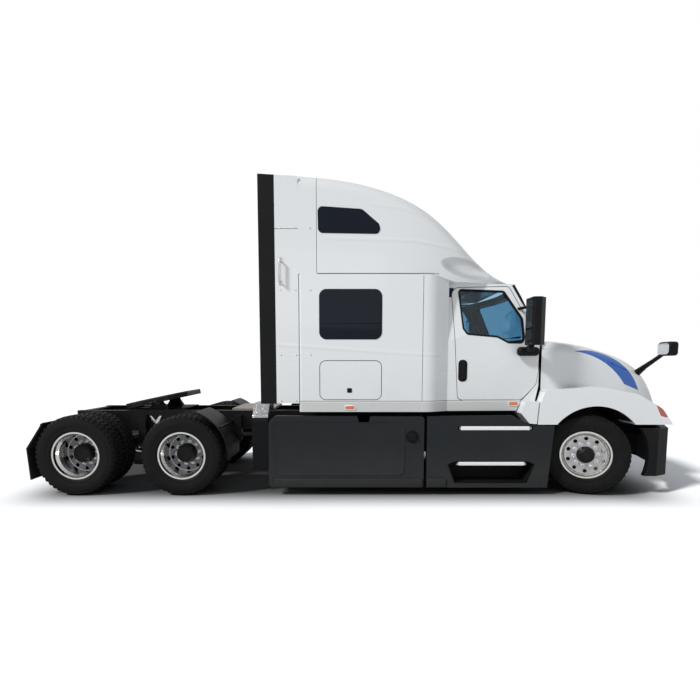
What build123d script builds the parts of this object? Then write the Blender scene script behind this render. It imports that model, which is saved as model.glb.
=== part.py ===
from build123d import *
from math import asin, cos, degrees, pi, radians, sin, sqrt
import os

# Three-axle highway tractor with a high-roof sleeper.
# Millimetres. X points forward, Y to the left, Z up, and the ground is Z = 0.
os.makedirs("parts", exist_ok=True)

# Running gear
TYRE_RADIUS = 507
TYRE_WIDTH = 280
TYRE_RIM_RADIUS = 286.5
AXLE_HEIGHT = TYRE_RADIUS
FRONT_AXLE_X = 2944
WHEELBASE = 5820
TANDEM_SPACING = 1321
TANDEM_X = FRONT_AXLE_X - WHEELBASE
MIDDLE_AXLE_X = TANDEM_X + TANDEM_SPACING / 2
REAR_AXLE_X = TANDEM_X - TANDEM_SPACING / 2
DUAL_OUTER_Y = 1082
DUAL_INNER_Y = 747
KINGPIN_Y = 880
STEER_OFFSET = 161
STEER_REST = -20
RIM_FLANGE_RADIUS = 298.5
RIM_HALF_WIDTH = 117
RIM_LIP = 8
NUT_CIRCLE_RADIUS = 142.9
HAND_HOLE_CIRCLE_RADIUS = 207
HAND_HOLES = 10

# Frame
RAIL_TOP = 1000
RAIL_HEIGHT = 266
RAIL_FLANGE = 88
RAIL_WEB = 9
RAIL_OUTER_Y = 432
RAIL_REAR_X = -3930
RAIL_FRONT_X = 3700
RAIL_BOTTOM = RAIL_TOP - RAIL_HEIGHT

# Cab and sleeper
BODY_HALF_WIDTH = 1215
SLEEPER_REAR_X = -738
BACK_WALL = 45
SHOULDER_X = 880
CAB_REAR_X = 1100
CAB_REAR_HALF_WIDTH = 1092
CAB_FRONT_X = 2262
CAB_FRONT_HALF_WIDTH = 1036
CAB_BOTTOM = 1060
DOOR_BOTTOM = 1200
BELT_Z = 1900
HEADER_Z = 2640
HEADER_HALF_WIDTH = 985
SEAM_Z = 2724
WALL = 50
GAP = 8
SCREEN_BASE_Z = 1950
SCREEN_BASE_X = 2480
SCREEN_RADIUS = 2726
SCREEN_SLOPE = 330 / 640
GLASS = 8
FLOOR = 50

# Hood
HOOD_PIVOT_X = 4050
HOOD_PIVOT_Z = 890
HOOD_BOTTOM = 900
HOOD_SKIN = 30
ARCH_X = 2934
ARCH_Z = 498
ARCH_RADIUS = 630
FENDER_HALF_WIDTH = 1200

# Skirts and bumper
SKIRT_Y = 1200
SKIRT_SKIN = 22
BUMPER_FRONT_X = 4132


def face_of(points, radii=0):
    if radii:
        return make_face(FilletPolyline(*points, radius=radii, close=True))
    return make_face(Polyline(*points, close=True))


def side_prism(points, y_low, y_high, radii=0):
    # outline in X and Z, from y_low to y_high
    plane = Plane(origin=(0, y_low, 0), x_dir=(1, 0, 0), z_dir=(0, -1, 0))
    return extrude(plane * face_of(points, radii), amount=-(y_high - y_low))


def plan_prism(points, z_low, z_high, radii=0):
    # outline in X and Y, from z_low to z_high
    return extrude(Plane.XY.offset(z_low) * face_of(points, radii), amount=z_high - z_low)


def front_prism(points, x_low, x_high, radii=0):
    # outline in Y and Z, from x_low to x_high
    return extrude(Plane.YZ.offset(x_low) * face_of(points, radii), amount=x_high - x_low)


def block(x, y, z):
    # x, y and z are low and high limits
    size = (x[1] - x[0], y[1] - y[0], z[1] - z[0])
    middle = ((x[0] + x[1]) / 2, (y[0] + y[1]) / 2, (z[0] + z[1]) / 2)
    return Pos(*middle) * Box(*size)


def rod(start, end, radius):
    a = Vector(*start)
    b = Vector(*end)
    plane = Plane(origin=a, z_dir=b - a)
    return extrude(plane * Circle(radius), amount=(b - a).length)


def mirrored(shape):
    return mirror(shape, about=Plane.XZ)


def pair(shape):
    # the piece on the right and its twin on the left
    return [shape, mirrored(shape)]


def symmetric(rows):
    # rows of x and half width, rear to front, closed to an outline in X and Y
    right = [(x, -half) for x, half in rows]
    left = [(x, half) for x, half in reversed(rows)]
    return right + left


def upright(rows):
    # rows of half width and height, low to high, closed to an outline in Y and Z
    right = [(-half, z) for half, z in rows]
    left = [(half, z) for half, z in reversed(rows)]
    return right + left


def joined(shapes):
    total = shapes[0]
    for shape in shapes[1:]:
        total = total + shape
    return total


nodes = {}


def keep(name, *shapes):
    solids = []
    for shape in shapes:
        solids.extend(shape.solids())
    nodes[name] = solids


# ---------------------------------------------------------------- frame
def frame_rail():
    outer = RAIL_OUTER_Y
    inner = outer - RAIL_FLANGE
    beam = block((RAIL_REAR_X, RAIL_FRONT_X), (-outer, -inner), (RAIL_BOTTOM, RAIL_TOP))
    groove = block(
        (RAIL_REAR_X - 1, RAIL_FRONT_X + 1),
        (-outer + RAIL_WEB, -inner + 1),
        (RAIL_BOTTOM + RAIL_WEB, RAIL_TOP - RAIL_WEB),
    )
    return beam - groove


def crossmembers():
    reach = RAIL_OUTER_Y - RAIL_WEB
    low = RAIL_BOTTOM + RAIL_WEB
    high = RAIL_TOP - RAIL_WEB
    members = []
    # x centre, length along x
    for x, length in ((-3880, 90), (-2876, 160), (-1560, 120), (-500, 100), (700, 100), (3600, 120)):
        bar = block((x - length / 2, x + length / 2), (-reach, reach), (low, high))
        hollow = block((x - length / 2 + 10, x + length / 2 + 1), (-reach + 12, reach - 12), (low + 12, high - 12))
        members.append(bar - hollow)
    return members


keep("frame_rails", *pair(frame_rail()))
keep("crossmembers", *crossmembers())

# ---------------------------------------------------------------- front axle and springs
SPRING_Y = 385
SPRING_WIDTH = 90
KNUCKLE_GAP = 6
FORK_HEIGHT = 150


def front_axle():
    reach = KINGPIN_Y - 45
    beam = front_prism(
        upright([(reach, 470), (reach, 560), (520, 480), (440, 480)])[:4]
        + [(440, 480), (520, 480), (reach, 560), (reach, 470), (520, 380), (440, 380), (-440, 380), (-520, 380)],
        FRONT_AXLE_X - 55,
        FRONT_AXLE_X + 55,
    )
    eyes = [
        Pos(FRONT_AXLE_X, side * KINGPIN_Y, AXLE_HEIGHT + 8) * Cylinder(52, FORK_HEIGHT)
        for side in (-1, 1)
    ]
    springs = []
    for side in (-1, 1):
        y = side * SPRING_Y
        limits = (y - SPRING_WIDTH / 2, y + SPRING_WIDTH / 2)
        low = 480
        leaf = side_prism(
            [
                (FRONT_AXLE_X - 760, 640), (FRONT_AXLE_X - 300, 540), (FRONT_AXLE_X - 90, low),
                (FRONT_AXLE_X + 90, low), (FRONT_AXLE_X + 300, 540), (FRONT_AXLE_X + 680, 640),
                (FRONT_AXLE_X + 680, 676), (FRONT_AXLE_X + 300, 590), (FRONT_AXLE_X + 90, 545),
                (FRONT_AXLE_X - 90, 545), (FRONT_AXLE_X - 300, 590), (FRONT_AXLE_X - 760, 676),
            ],
            *limits,
        )
        springs.append(leaf)
        for x in (FRONT_AXLE_X - 740, FRONT_AXLE_X + 660):
            springs.append(block((x - 40, x + 40), limits, (650, RAIL_BOTTOM)))
    return joined([beam] + eyes + springs)


keep("front_axle", front_axle())

# ---------------------------------------------------------------- drive axles
AXLE_TUBE_RADIUS = 68
DRUM_FACE_Y = 560


def drive_axle(x):
    tube = rod((x, -DRUM_FACE_Y, AXLE_HEIGHT), (x, DRUM_FACE_Y, AXLE_HEIGHT), AXLE_TUBE_RADIUS)
    bowl = Pos(x, 0, AXLE_HEIGHT) * Sphere(215)
    nose = rod((x + 100, 0, AXLE_HEIGHT + 20), (x + 330, 0, AXLE_HEIGHT + 60), 110)
    stubs = rod((x, -900, AXLE_HEIGHT), (x, 900, AXLE_HEIGHT), 42)
    return joined([tube, bowl, nose, stubs])


keep("drive_axles", drive_axle(MIDDLE_AXLE_X), drive_axle(REAR_AXLE_X))

ARM_Y = 500


def suspension_side(x, side):
    y = side * ARM_Y
    limits = (y - 38, y + 38)
    arm = side_prism(
        [
            (x - 400, 440), (x + 90, 440), (x + 560, 560), (x + 590, 640),
            (x + 500, 640), (x + 90, 580), (x - 90, 580), (x - 380, 500),
        ],
        *limits,
    )
    arm = arm - rod((x, y - 60, AXLE_HEIGHT), (x, y + 60, AXLE_HEIGHT), AXLE_TUBE_RADIUS)
    outer = RAIL_OUTER_Y if side > 0 else -RAIL_OUTER_Y
    hanger_y = (min(outer, y + side * 38), max(outer, y + side * 38))
    hanger = block((x + 500, x + 600), hanger_y, (600, RAIL_TOP - 60))
    spring = Pos(x - 330, y - side * 0, 0) * (Pos(0, 0, 610) * Cylinder(62, 240))
    shelf = block((x - 400, x - 260), hanger_y, (722, 742))
    return joined([arm, hanger, spring, shelf])


suspension = []
for axle_x in (MIDDLE_AXLE_X, REAR_AXLE_X):
    for side in (-1, 1):
        suspension.append(suspension_side(axle_x, side))
keep("drive_suspension", *suspension)

# ---------------------------------------------------------------- engine and driveline
ENGINE_X = (2330, 3380)
keep("engine", block(ENGINE_X, (-330, 330), (690, 1560)))


def driveline():
    gearbox = front_prism(
        upright([(150, 560), (250, 640), (250, 900), (150, 985)]), 1450, ENGINE_X[0]
    )
    shaft = rod((1450, 0, 650), (-500, 0, 640), 55)
    carrier = rod((-500, 0, 640), (MIDDLE_AXLE_X + 325, 0, AXLE_HEIGHT + 60), 55)
    between = rod((MIDDLE_AXLE_X - 190, 0, AXLE_HEIGHT + 30), (REAR_AXLE_X + 325, 0, AXLE_HEIGHT + 60), 45)
    return [joined([gearbox, shaft, carrier]), between]


driveline_solids = driveline()
axles = joined([drive_axle(MIDDLE_AXLE_X), drive_axle(REAR_AXLE_X)])
keep("driveline", *[shape - axles for shape in driveline_solids])
keep("radiator", block((3400, 3510), (-400, 400), (RAIL_TOP, 1500)))

# ---------------------------------------------------------------- wheels


def tyre(width=TYRE_WIDTH):
    # tread, shoulder and side wall turned about Y, seated on both rim lips
    half = width / 2
    lip = RIM_HALF_WIDTH - RIM_LIP
    rows = [
        (TYRE_RIM_RADIUS, -lip), (RIM_FLANGE_RADIUS, -lip), (RIM_FLANGE_RADIUS + 14, -lip - 10),
        (400, -half), (455, -half + 4), (492, -half + 14), (TYRE_RADIUS - 2, -half + 34), (TYRE_RADIUS, 0),
    ]
    rows = rows + [(r, -y) for r, y in reversed(rows[:-1])]
    outline = make_face(Polyline(*[(r, y) for r, y in rows], close=True))
    return revolve(outline, axis=Axis.Y)


def rim_section(disc_y):
    # drop-centre rim and dished disc in radius and y; the outer flange is on the +Y side
    half = RIM_HALF_WIDTH
    return face_of(
        [
            (RIM_FLANGE_RADIUS, -half), (RIM_FLANGE_RADIUS, -half + RIM_LIP), (286, -half + RIM_LIP), (284, -77),
            (262, -47), (262, 47), (284, 77), (286, half - RIM_LIP), (RIM_FLANGE_RADIUS, half - RIM_LIP),
            (RIM_FLANGE_RADIUS, half), (278, half), (272, 77), (250, 43), (250, -8),
            (238, disc_y + 11), (84, disc_y + 11), (84, disc_y - 11), (240, disc_y - 11),
            (250, -40), (272, -77), (278, -half),
        ]
    )


def hand_holes(disc_y):
    holes = []
    for k in range(HAND_HOLES):
        angle = 2 * pi * (k + 0.5) / HAND_HOLES
        x = HAND_HOLE_CIRCLE_RADIUS * cos(angle)
        z = HAND_HOLE_CIRCLE_RADIUS * sin(angle)
        holes.append(rod((x, disc_y - 20, z), (x, disc_y + 20, z), 24))
    return holes


def wheel_of(sections, disc_ys):
    # sections in radius and y are joined flat, turned about Y, then the discs are pierced
    body = revolve(joined(sections), axis=Axis.Y)
    for disc_y in disc_ys:
        body = body - hand_holes(disc_y)
    return body


def steer_wheel():
    # outer flange and disc towards +Y, with the hub and its round cap
    disc_y = 84
    rim = mirror(rim_section(-disc_y), about=Plane.XZ)
    hub = face_of(
        [
            (35, -95), (85, -95), (110, -60), (110, disc_y - 15), (168, disc_y - 15), (168, disc_y + 8),
            (98, disc_y + 15), (88, disc_y + 62), (62, disc_y + 72), (0, disc_y + 72), (0, -30), (35, -30),
        ]
    )
    drum = face_of([(100, 40), (175, 40), (205, 10), (205, -92), (120, -92), (120, -5), (100, -5)])
    return wheel_of([rim, hub, drum], [disc_y])


def dual_wheels():
    # both rims of a twin wheel; y = 0 is the plane of the outer tyre
    mount = (DUAL_INNER_Y - DUAL_OUTER_Y) / 2
    outer = rim_section(mount + 27)
    inner = Pos(0, DUAL_INNER_Y - DUAL_OUTER_Y) * mirror(rim_section(mount + 27), about=Plane.XZ)
    hub = face_of(
        [
            (50, mount - 120), (120, mount - 120), (130, mount - 34), (168, mount - 34), (168, mount + 34),
            (118, mount + 44), (108, mount + 135), (92, mount + 148), (0, mount + 148), (0, mount + 60), (50, mount + 60),
        ]
    )
    drum = face_of([(124, mount - 230), (215, mount - 230), (215, mount - 60), (160, mount - 30), (124, mount - 30)])
    return wheel_of([outer, inner, hub, drum], [mount - 27, mount + 27])


def steered(shape, side):
    # swings a piece modelled straight ahead to the parked steering angle
    pin = (FRONT_AXLE_X, side * KINGPIN_Y, 0)
    return Pos(*pin) * (Rot(0, 0, STEER_REST) * (Pos(-pin[0], -pin[1], 0) * shape))


steer_y = KINGPIN_Y + STEER_OFFSET
front_tyre_left = Pos(FRONT_AXLE_X, steer_y, AXLE_HEIGHT) * tyre()
front_wheel_left = Pos(FRONT_AXLE_X, steer_y, AXLE_HEIGHT) * steer_wheel()
keep("tyre_front_left", steered(front_tyre_left, 1))
keep("wheel_front_left", steered(front_wheel_left, 1))
keep("tyre_front_right", steered(mirrored(front_tyre_left), -1))
keep("wheel_front_right", steered(mirrored(front_wheel_left), -1))

for axle_name, axle_x in (("middle", MIDDLE_AXLE_X), ("rear", REAR_AXLE_X)):
    tyres = [Pos(axle_x, y, AXLE_HEIGHT) * tyre() for y in (DUAL_OUTER_Y, DUAL_INNER_Y)]
    wheels = Pos(axle_x, DUAL_OUTER_Y, AXLE_HEIGHT) * dual_wheels()
    keep("tyres_" + axle_name + "_left", *tyres)
    keep("tyres_" + axle_name + "_right", *[mirrored(shape) for shape in tyres])
    keep("wheels_" + axle_name + "_left", wheels)
    keep("wheels_" + axle_name + "_right", mirrored(wheels))

# ---------------------------------------------------------------- knuckles and tie rod
TIE_PIN_BACK = 200
TIE_PIN_IN = 0
TIE_ROD_Z = 372


def knuckle_left():
    pin = (FRONT_AXLE_X, KINGPIN_Y)
    eye_low = AXLE_HEIGHT + 8 - FORK_HEIGHT / 2 - KNUCKLE_GAP
    eye_high = AXLE_HEIGHT + 8 + FORK_HEIGHT / 2 + KNUCKLE_GAP
    lower = block((pin[0] - 50, pin[0] + 50), (pin[1] - 50, pin[1] + 61), (eye_low - 40, eye_low))
    upper = block((pin[0] - 50, pin[0] + 50), (pin[1] - 50, pin[1] + 61), (eye_high, eye_high + 40))
    plate = block((pin[0] - 50, pin[0] + 50), (pin[1] + 58, pin[1] + 61), (eye_low - 40, eye_high + 40))
    spindle = rod((pin[0], pin[1] + 58, AXLE_HEIGHT), (pin[0], pin[1] + 125, AXLE_HEIGHT), 34.5)
    tie_x = pin[0] - TIE_PIN_BACK
    tie_y = pin[1] - TIE_PIN_IN
    arm = plan_prism(
        [(pin[0] + 10, pin[1] - 45), (pin[0] - 40, pin[1] + 30), (tie_x - 28, tie_y + 28), (tie_x - 28, tie_y - 28), (tie_x + 20, tie_y - 28)],
        eye_low - 36,
        eye_low - 6,
    )
    return joined([lower, upper, plate, spindle, arm])


knuckle = knuckle_left()
keep("knuckle_left", steered(knuckle, 1))
keep("knuckle_right", steered(mirrored(knuckle), -1))


def tie_point(side):
    angle = radians(STEER_REST)
    dx = -TIE_PIN_BACK
    dy = -side * TIE_PIN_IN
    x = FRONT_AXLE_X + dx * cos(angle) - dy * sin(angle)
    y = side * KINGPIN_Y + dx * sin(angle) + dy * cos(angle)
    return x, y


left_x, left_y = tie_point(1)
right_x, right_y = tie_point(-1)
print("tie rod ends", left_x, left_y, right_x, right_y)

# ---------------------------------------------------------------- tanks and deck
def fuel_tank():
    x_low, x_high = -700, 750
    tank = rod((x_low, -850, 560), (x_high, -850, 560), 300)
    tank = fillet(tank.edges().filter_by(GeomType.CIRCLE), 40)
    brackets = [block((x - 40, x + 40), (-850, -RAIL_OUTER_Y), (RAIL_BOTTOM, RAIL_BOTTOM + 200)) for x in (-500, 580)]
    return joined([tank] + brackets)


keep("fuel_tanks", *pair(fuel_tank()))


def power_unit_box():
    x_low, x_high = -1329, -1134
    outline = [(-1195, 330), (-700, 330), (-700, 1157), (-1020, 1157), (-1195, 980)]
    box = front_prism(outline, x_low, x_high, [20, 20, 20, 150, 150])
    bracket = block((-1290, -1170), (-700, -RAIL_OUTER_Y), (RAIL_BOTTOM + 30, RAIL_BOTTOM + 110))
    return box + bracket


keep("power_unit_box", power_unit_box())
keep("deck_plate", block((-1758, -1180), (-RAIL_OUTER_Y, RAIL_OUTER_Y), (RAIL_TOP, RAIL_TOP + 30)))

# ---------------------------------------------------------------- skirts, steps and bumper
steer_clearance = Pos(FRONT_AXLE_X, -KINGPIN_Y, 500) * Cylinder(615, 1100)


def rear_skirt():
    outline = [(-1129, 105), (804, 105), (804, 1000), (-1129, 1008)]
    outer = side_prism(outline, -SKIRT_Y, -SKIRT_Y + 90, [60, 20, 40, 120])
    inner = block((-1089, 770), (-SKIRT_Y + SKIRT_SKIN, -SKIRT_Y + 91), (90, 970))
    notch = side_prism([(-30, 1020), (0, 900), (110, 900), (140, 1020)], -SKIRT_Y - 1, -SKIRT_Y + 91)
    return outer - inner - notch


UPPER_STEP_Z = 871
LOWER_STEP_Z = 420


def front_skirt():
    outline = [(841, 105), (2352, 105), (2419, 885), (2130, 890), (1900, 1010), (841, 1000)]
    outer = side_prism(outline, -SKIRT_Y, -SKIRT_Y + 90)
    inner = block((875, 2330), (-SKIRT_Y + SKIRT_SKIN, -SKIRT_Y + 91), (90, 860))
    shell = outer - inner
    upper = side_prism([(1222, 832), (2150, 832), (2150, 884), (1222, 884)], -SKIRT_Y - 1, -SKIRT_Y + 92)
    lower = side_prism([(1100, 400), (1190, 440), (2100, 440), (2190, 400), (2100, 160), (1190, 160)], -SKIRT_Y - 1, -SKIRT_Y + 92)
    return shell - upper - lower - steer_clearance


def step(x, z, depth):
    tread = block(x, (-SKIRT_Y + 2, -SKIRT_Y + depth), (z - 28, z))
    stay_x = (x[0] + 150, x[1] - 150)
    stays = [block((s - 30, s + 30), (-SKIRT_Y + 100, -RAIL_OUTER_Y), (RAIL_BOTTOM + 40, RAIL_BOTTOM + 90)) for s in stay_x]
    posts = [block((s - 30, s + 30), (-SKIRT_Y + 100, -SKIRT_Y + depth), (min(z - 28, RAIL_BOTTOM + 40), max(z - 28, RAIL_BOTTOM + 90))) for s in stay_x]
    return joined([tread] + stays + posts)


steps = step((1240, 2130), UPPER_STEP_Z, 220) + step((1210, 2080), LOWER_STEP_Z, 260)
keep("skirts_rear", *pair(rear_skirt()))
keep("skirts_front", *pair(front_skirt()))
keep("steps", *pair(steps - steer_clearance))

BUMPER_PLAN = [(3450, 1215), (3700, 1215), (3880, 1120), (4070, 760), (BUMPER_FRONT_X, 300)]
BUMPER_WALL = 60


def bumper():
    outer = plan_prism(symmetric(BUMPER_PLAN), 255, 855)
    inner_rows = [(3380, 1150), (3680, 1150), (3820, 1070), (3990, 720), (4060, 260)]
    inner = plan_prism(symmetric(inner_rows), 200, 900)
    profile = [(3300, 255), (3900, 255), (4080, 330), (BUMPER_FRONT_X, 520), (BUMPER_FRONT_X, 800), (4080, 850), (3300, 850)]
    chin = side_prism(profile, -1300, 1300, [10, 60, 80, 80, 40, 40, 10])
    shell = (outer - inner) & chin
    arch = rod((ARCH_X, -1300, ARCH_Z), (ARCH_X, 1300, ARCH_Z), 660)
    stays = [block((RAIL_FRONT_X, 4065), (side * 390 - 30, side * 390 + 30), (RAIL_BOTTOM - 60, RAIL_BOTTOM + 90)) for side in (-1, 1)]
    stay_trim = outer - inner
    return joined([shell - arch] + [stay - stay_trim for stay in stays])


keep("bumper", bumper())

# ---------------------------------------------------------------- mud flaps and fifth wheel
FLAP_REAR_X = -4132


def mud_flap():
    panel = side_prism([(-3902, 915), (-4116, 592), (FLAP_REAR_X, 598), (-3915, 924)], -1222, -600)
    flap = side_prism([(FLAP_REAR_X, 600), (-4117, 600), (-4088, 208), (-4103, 208)], -1215, -610)
    arm = block((RAIL_REAR_X - 35, RAIL_REAR_X), (-1180, -345), (868, 905))
    return joined([panel, flap, arm])


keep("mud_flaps", *pair(mud_flap()))

FIFTH_X = -2830
FIFTH_Z = 1120
FIFTH_TILT = 12
KINGPIN_RADIUS = 25.4


def fifth_wheel_base():
    plate = block((FIFTH_X - 330, FIFTH_X + 330), (-RAIL_OUTER_Y, RAIL_OUTER_Y), (RAIL_TOP, RAIL_TOP + 12))
    cheeks = []
    for side in (-1, 1):
        y = side * 330
        cheek = side_prism(
            [(FIFTH_X - 130, RAIL_TOP + 12), (FIFTH_X + 130, RAIL_TOP + 12), (FIFTH_X + 45, FIFTH_Z + 25), (FIFTH_X - 45, FIFTH_Z + 25)],
            y - 30,
            y + 30,
        )
        cheek = cheek - rod((FIFTH_X, y - 40, FIFTH_Z), (FIFTH_X, y + 40, FIFTH_Z), 26)
        cheeks.append(cheek)
    return joined([plate] + cheeks)


def fifth_wheel_plate():
    # level top at pivot height plus 62, horseshoe outline with an open throat to the rear
    top = 62
    x, y = FIFTH_X, 480
    outline = [
        (x + 420, -300), (x + 420, 300), (x + 200, y), (x - 180, y), (x - 520, 210), (x - 520, 150),
        (x - 60, 45), (x - 60, -45), (x - 520, -150), (x - 520, -210), (x - 180, -y), (x + 200, -y),
    ]
    plate = plan_prism(outline, FIFTH_Z + top - 20, FIFTH_Z + top)
    ribs = []
    for side in (-1, 1):
        for offset in (-46, 46):
            yy = side * 330 + offset
            lug = side_prism(
                [(x - 60, FIFTH_Z + top - 20), (x + 60, FIFTH_Z + top - 20), (x + 36, FIFTH_Z - 34), (x - 36, FIFTH_Z - 34)],
                yy - 10,
                yy + 10,
            )
            ribs.append(lug)
        ribs.append(rod((x, side * 330 - 50, FIFTH_Z), (x, side * 330 + 50, FIFTH_Z), 25))
    throat = Pos(x + 20, 0, FIFTH_Z + top - 10) * Cylinder(KINGPIN_RADIUS, 60)
    throat = throat + block((x - 62, x + 20), (-KINGPIN_RADIUS, KINGPIN_RADIUS), (FIFTH_Z, FIFTH_Z + 90))
    body = joined([plate] + ribs) - throat
    pivot = Pos(FIFTH_X, 0, FIFTH_Z)
    return pivot * (Rot(0, -FIFTH_TILT, 0) * (pivot.inverse() * body))


keep("fifth_wheel_base", fifth_wheel_base())
keep("fifth_wheel_plate", fifth_wheel_plate())

# ---------------------------------------------------------------- cab and sleeper volumes
SPLIT = [(SLEEPER_REAR_X - 50, SEAM_Z), (SHOULDER_X, SEAM_Z), (1150, HEADER_Z), (2600, HEADER_Z)]


def inset_face(face, inset):
    if inset == 0:
        return face
    return offset(face, amount=-inset, kind=Kind.INTERSECTION)


def below_split():
    low = [(2600, 0), (SLEEPER_REAR_X - 50, 0)]
    return side_prism(SPLIT + low, -1500, 1500)


def cab_plan():
    front_y = CAB_FRONT_HALF_WIDTH - 16
    centre = SCREEN_BASE_X - SCREEN_RADIUS
    corner_x = centre + sqrt(SCREEN_RADIUS**2 - front_y**2)
    lines = [
        Line((corner_x, -front_y), (CAB_FRONT_X, -CAB_FRONT_HALF_WIDTH)),
        Line((CAB_FRONT_X, -CAB_FRONT_HALF_WIDTH), (CAB_REAR_X - 100, -CAB_REAR_HALF_WIDTH - 5)),
        Line((CAB_REAR_X - 100, -CAB_REAR_HALF_WIDTH - 5), (CAB_REAR_X - 100, CAB_REAR_HALF_WIDTH + 5)),
        Line((CAB_REAR_X - 100, CAB_REAR_HALF_WIDTH + 5), (CAB_FRONT_X, CAB_FRONT_HALF_WIDTH)),
        Line((CAB_FRONT_X, CAB_FRONT_HALF_WIDTH), (corner_x, front_y)),
        ThreePointArc((corner_x, front_y), (SCREEN_BASE_X, 0), (corner_x, -front_y)),
    ]
    return make_face(lines)


def screen_block(inset):
    # everything behind the raked, curved windscreen surface
    wide = 1250
    centre = SCREEN_BASE_X - SCREEN_RADIUS
    edge_x = centre + sqrt(SCREEN_RADIUS**2 - wide**2)
    rise = SCREEN_BASE_Z - CAB_BOTTOM + 100
    shift = rise * SCREEN_SLOPE - inset * 1.12
    low = SCREEN_BASE_Z - rise
    lines = [
        Line((-3000, -wide), (-3000, wide)),
        Line((-3000, wide), (edge_x, wide)),
        ThreePointArc((edge_x, wide), (SCREEN_BASE_X, 0), (edge_x, -wide)),
        Line((edge_x, -wide), (-3000, -wide)),
    ]
    face = Pos(shift, 0, low) * make_face(lines)
    lean = Vector(-SCREEN_SLOPE, 0, 1)
    return extrude(face, amount=(SEAM_Z + 100 - low) * lean.length, dir=lean)


def cab_lean(inset):
    # the cab's side walls lean in above the belt
    sides = [
        (CAB_REAR_HALF_WIDTH + 5, CAB_BOTTOM), (CAB_REAR_HALF_WIDTH + 5, BELT_Z), (HEADER_HALF_WIDTH, HEADER_Z),
        (HEADER_HALF_WIDTH - 20, HEADER_Z + 150),
    ]
    section = face_of(upright(sides), [1, 500, 200, 1, 1, 200, 500, 1])
    return extrude(Plane.YZ.offset(CAB_REAR_X - 200) * inset_face(section, inset), amount=2500)


def cab_volume(inset):
    plan = extrude(Plane.XY.offset(CAB_BOTTOM - 10) * inset_face(cab_plan(), inset), amount=2000)
    lean_in = cab_lean(inset)
    profile = [
        (CAB_REAR_X, CAB_BOTTOM), (1990, CAB_BOTTOM), (2036, 1185), (CAB_FRONT_X, 1400), (CAB_FRONT_X, 1880),
        (2600, 1940), (2600, 3000), (CAB_REAR_X, 3000),
    ]
    side = make_face(Polyline(*profile, close=True))
    plane = Plane(origin=(0, -1500, 0), x_dir=(1, 0, 0), z_dir=(0, -1, 0))
    ends = extrude(plane * inset_face(side, inset), amount=-3000)
    return plan & lean_in & ends & screen_block(inset)


def sleeper_plan(inset):
    rows = [
        (SLEEPER_REAR_X, BODY_HALF_WIDTH), (SHOULDER_X, BODY_HALF_WIDTH), (CAB_REAR_X, CAB_REAR_HALF_WIDTH),
    ]
    face = face_of(symmetric(rows), [30, 260, 1, 1, 260, 30])
    return inset_face(face, inset)


def sleeper_volume(inset):
    low = CAB_BOTTOM + inset
    return extrude(Plane.XY.offset(low) * sleeper_plan(inset), amount=SEAM_Z - low) & below_split()


# x, half width, edge height, centre height, corner radius
ROOF_SECTIONS = [
    (-738, 1215, 3893, 3898, 170),
    (-430, 1215, 3868, 3876, 174),
    (-118, 1215, 3826, 3840, 178),
    (200, 1215, 3754, 3778, 184),
    (500, 1213, 3650, 3695, 190),
    (800, 1198, 3494, 3576, 196),
    (1080, 1160, 3276, 3402, 196),
    (1320, 1100, 3052, 3215, 190),
    (1540, 1015, 2862, 3040, 150),
    (1740, 905, 2738, 2875, 70),
    (1960, 760, 2668, 2730, 20),
]
ROOF_LOW = 2500
ROOF_WALL = 60


def roof_section(x, half, edge, centre, radius, inset):
    half = half - inset
    edge = edge - inset
    centre = centre - inset
    radius = max(radius - inset, 8)
    k = radius * (1 - sqrt(0.5))
    lines = [
        Line((-half, ROOF_LOW), (half, ROOF_LOW)),
        Line((half, ROOF_LOW), (half, edge - radius)),
        ThreePointArc((half, edge - radius), (half - k, edge - k), (half - radius, edge)),
        ThreePointArc((half - radius, edge), (0, centre), (-half + radius, edge)),
        ThreePointArc((-half + radius, edge), (-half + k, edge - k), (-half, edge - radius)),
        Line((-half, edge - radius), (-half, ROOF_LOW)),
    ]
    return Plane.YZ.offset(x) * make_face(lines)


def roof_volume(inset):
    faces = []
    for x, half, edge, centre, radius in ROOF_SECTIONS:
        shift = -inset * 0.8 if x > 1000 else 0
        faces.append(roof_section(x + shift, half, edge, centre, radius, inset))
    return loft(faces)


below = below_split()
back_slab = block((SLEEPER_REAR_X - 10, SLEEPER_REAR_X + BACK_WALL), (-1300, 1300), (0, 4000))
roof_outer = roof_volume(0)
roof_profile = [(x, edge - ROOF_WALL) for x, half, edge, centre, radius in ROOF_SECTIONS if x < 1700]
low_profile = [(x, edge - 180) for x, half, edge, centre, radius in ROOF_SECTIONS if x < 1400]
roof_ends = [(1560, ROOF_LOW), (SLEEPER_REAR_X, ROOF_LOW)]
low_ends = [(1320, ROOF_LOW), (SLEEPER_REAR_X, ROOF_LOW)]
roof_void = side_prism(roof_profile + roof_ends, -930, 930)
side_void = side_prism(low_profile + low_ends, -1170, 1170)
roof_void = roof_void + (side_void & block((SLEEPER_REAR_X, CAB_REAR_X - 140), (-1170, 1170), (0, 4000)))
sleeper_outer = sleeper_volume(0)
sleeper_inside = symmetric([
    (SLEEPER_REAR_X - 60, BODY_HALF_WIDTH - 45), (SHOULDER_X - 12, BODY_HALF_WIDTH - 45), (CAB_REAR_X + 60, CAB_REAR_HALF_WIDTH - 80),
])
sleeper_shell = sleeper_outer - plan_prism(sleeper_inside, 0, 3000)
cab_outer = cab_volume(0)
cab_inner = cab_volume(WALL) + block((CAB_REAR_X - 40, CAB_REAR_X + 80), (-1010, 1010), (CAB_BOTTOM - 20, 2590))
cab_shell = (cab_outer & below) - cab_inner - block((0, 1960), (-940, 940), (CAB_BOTTOM - 20, 1500))

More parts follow.
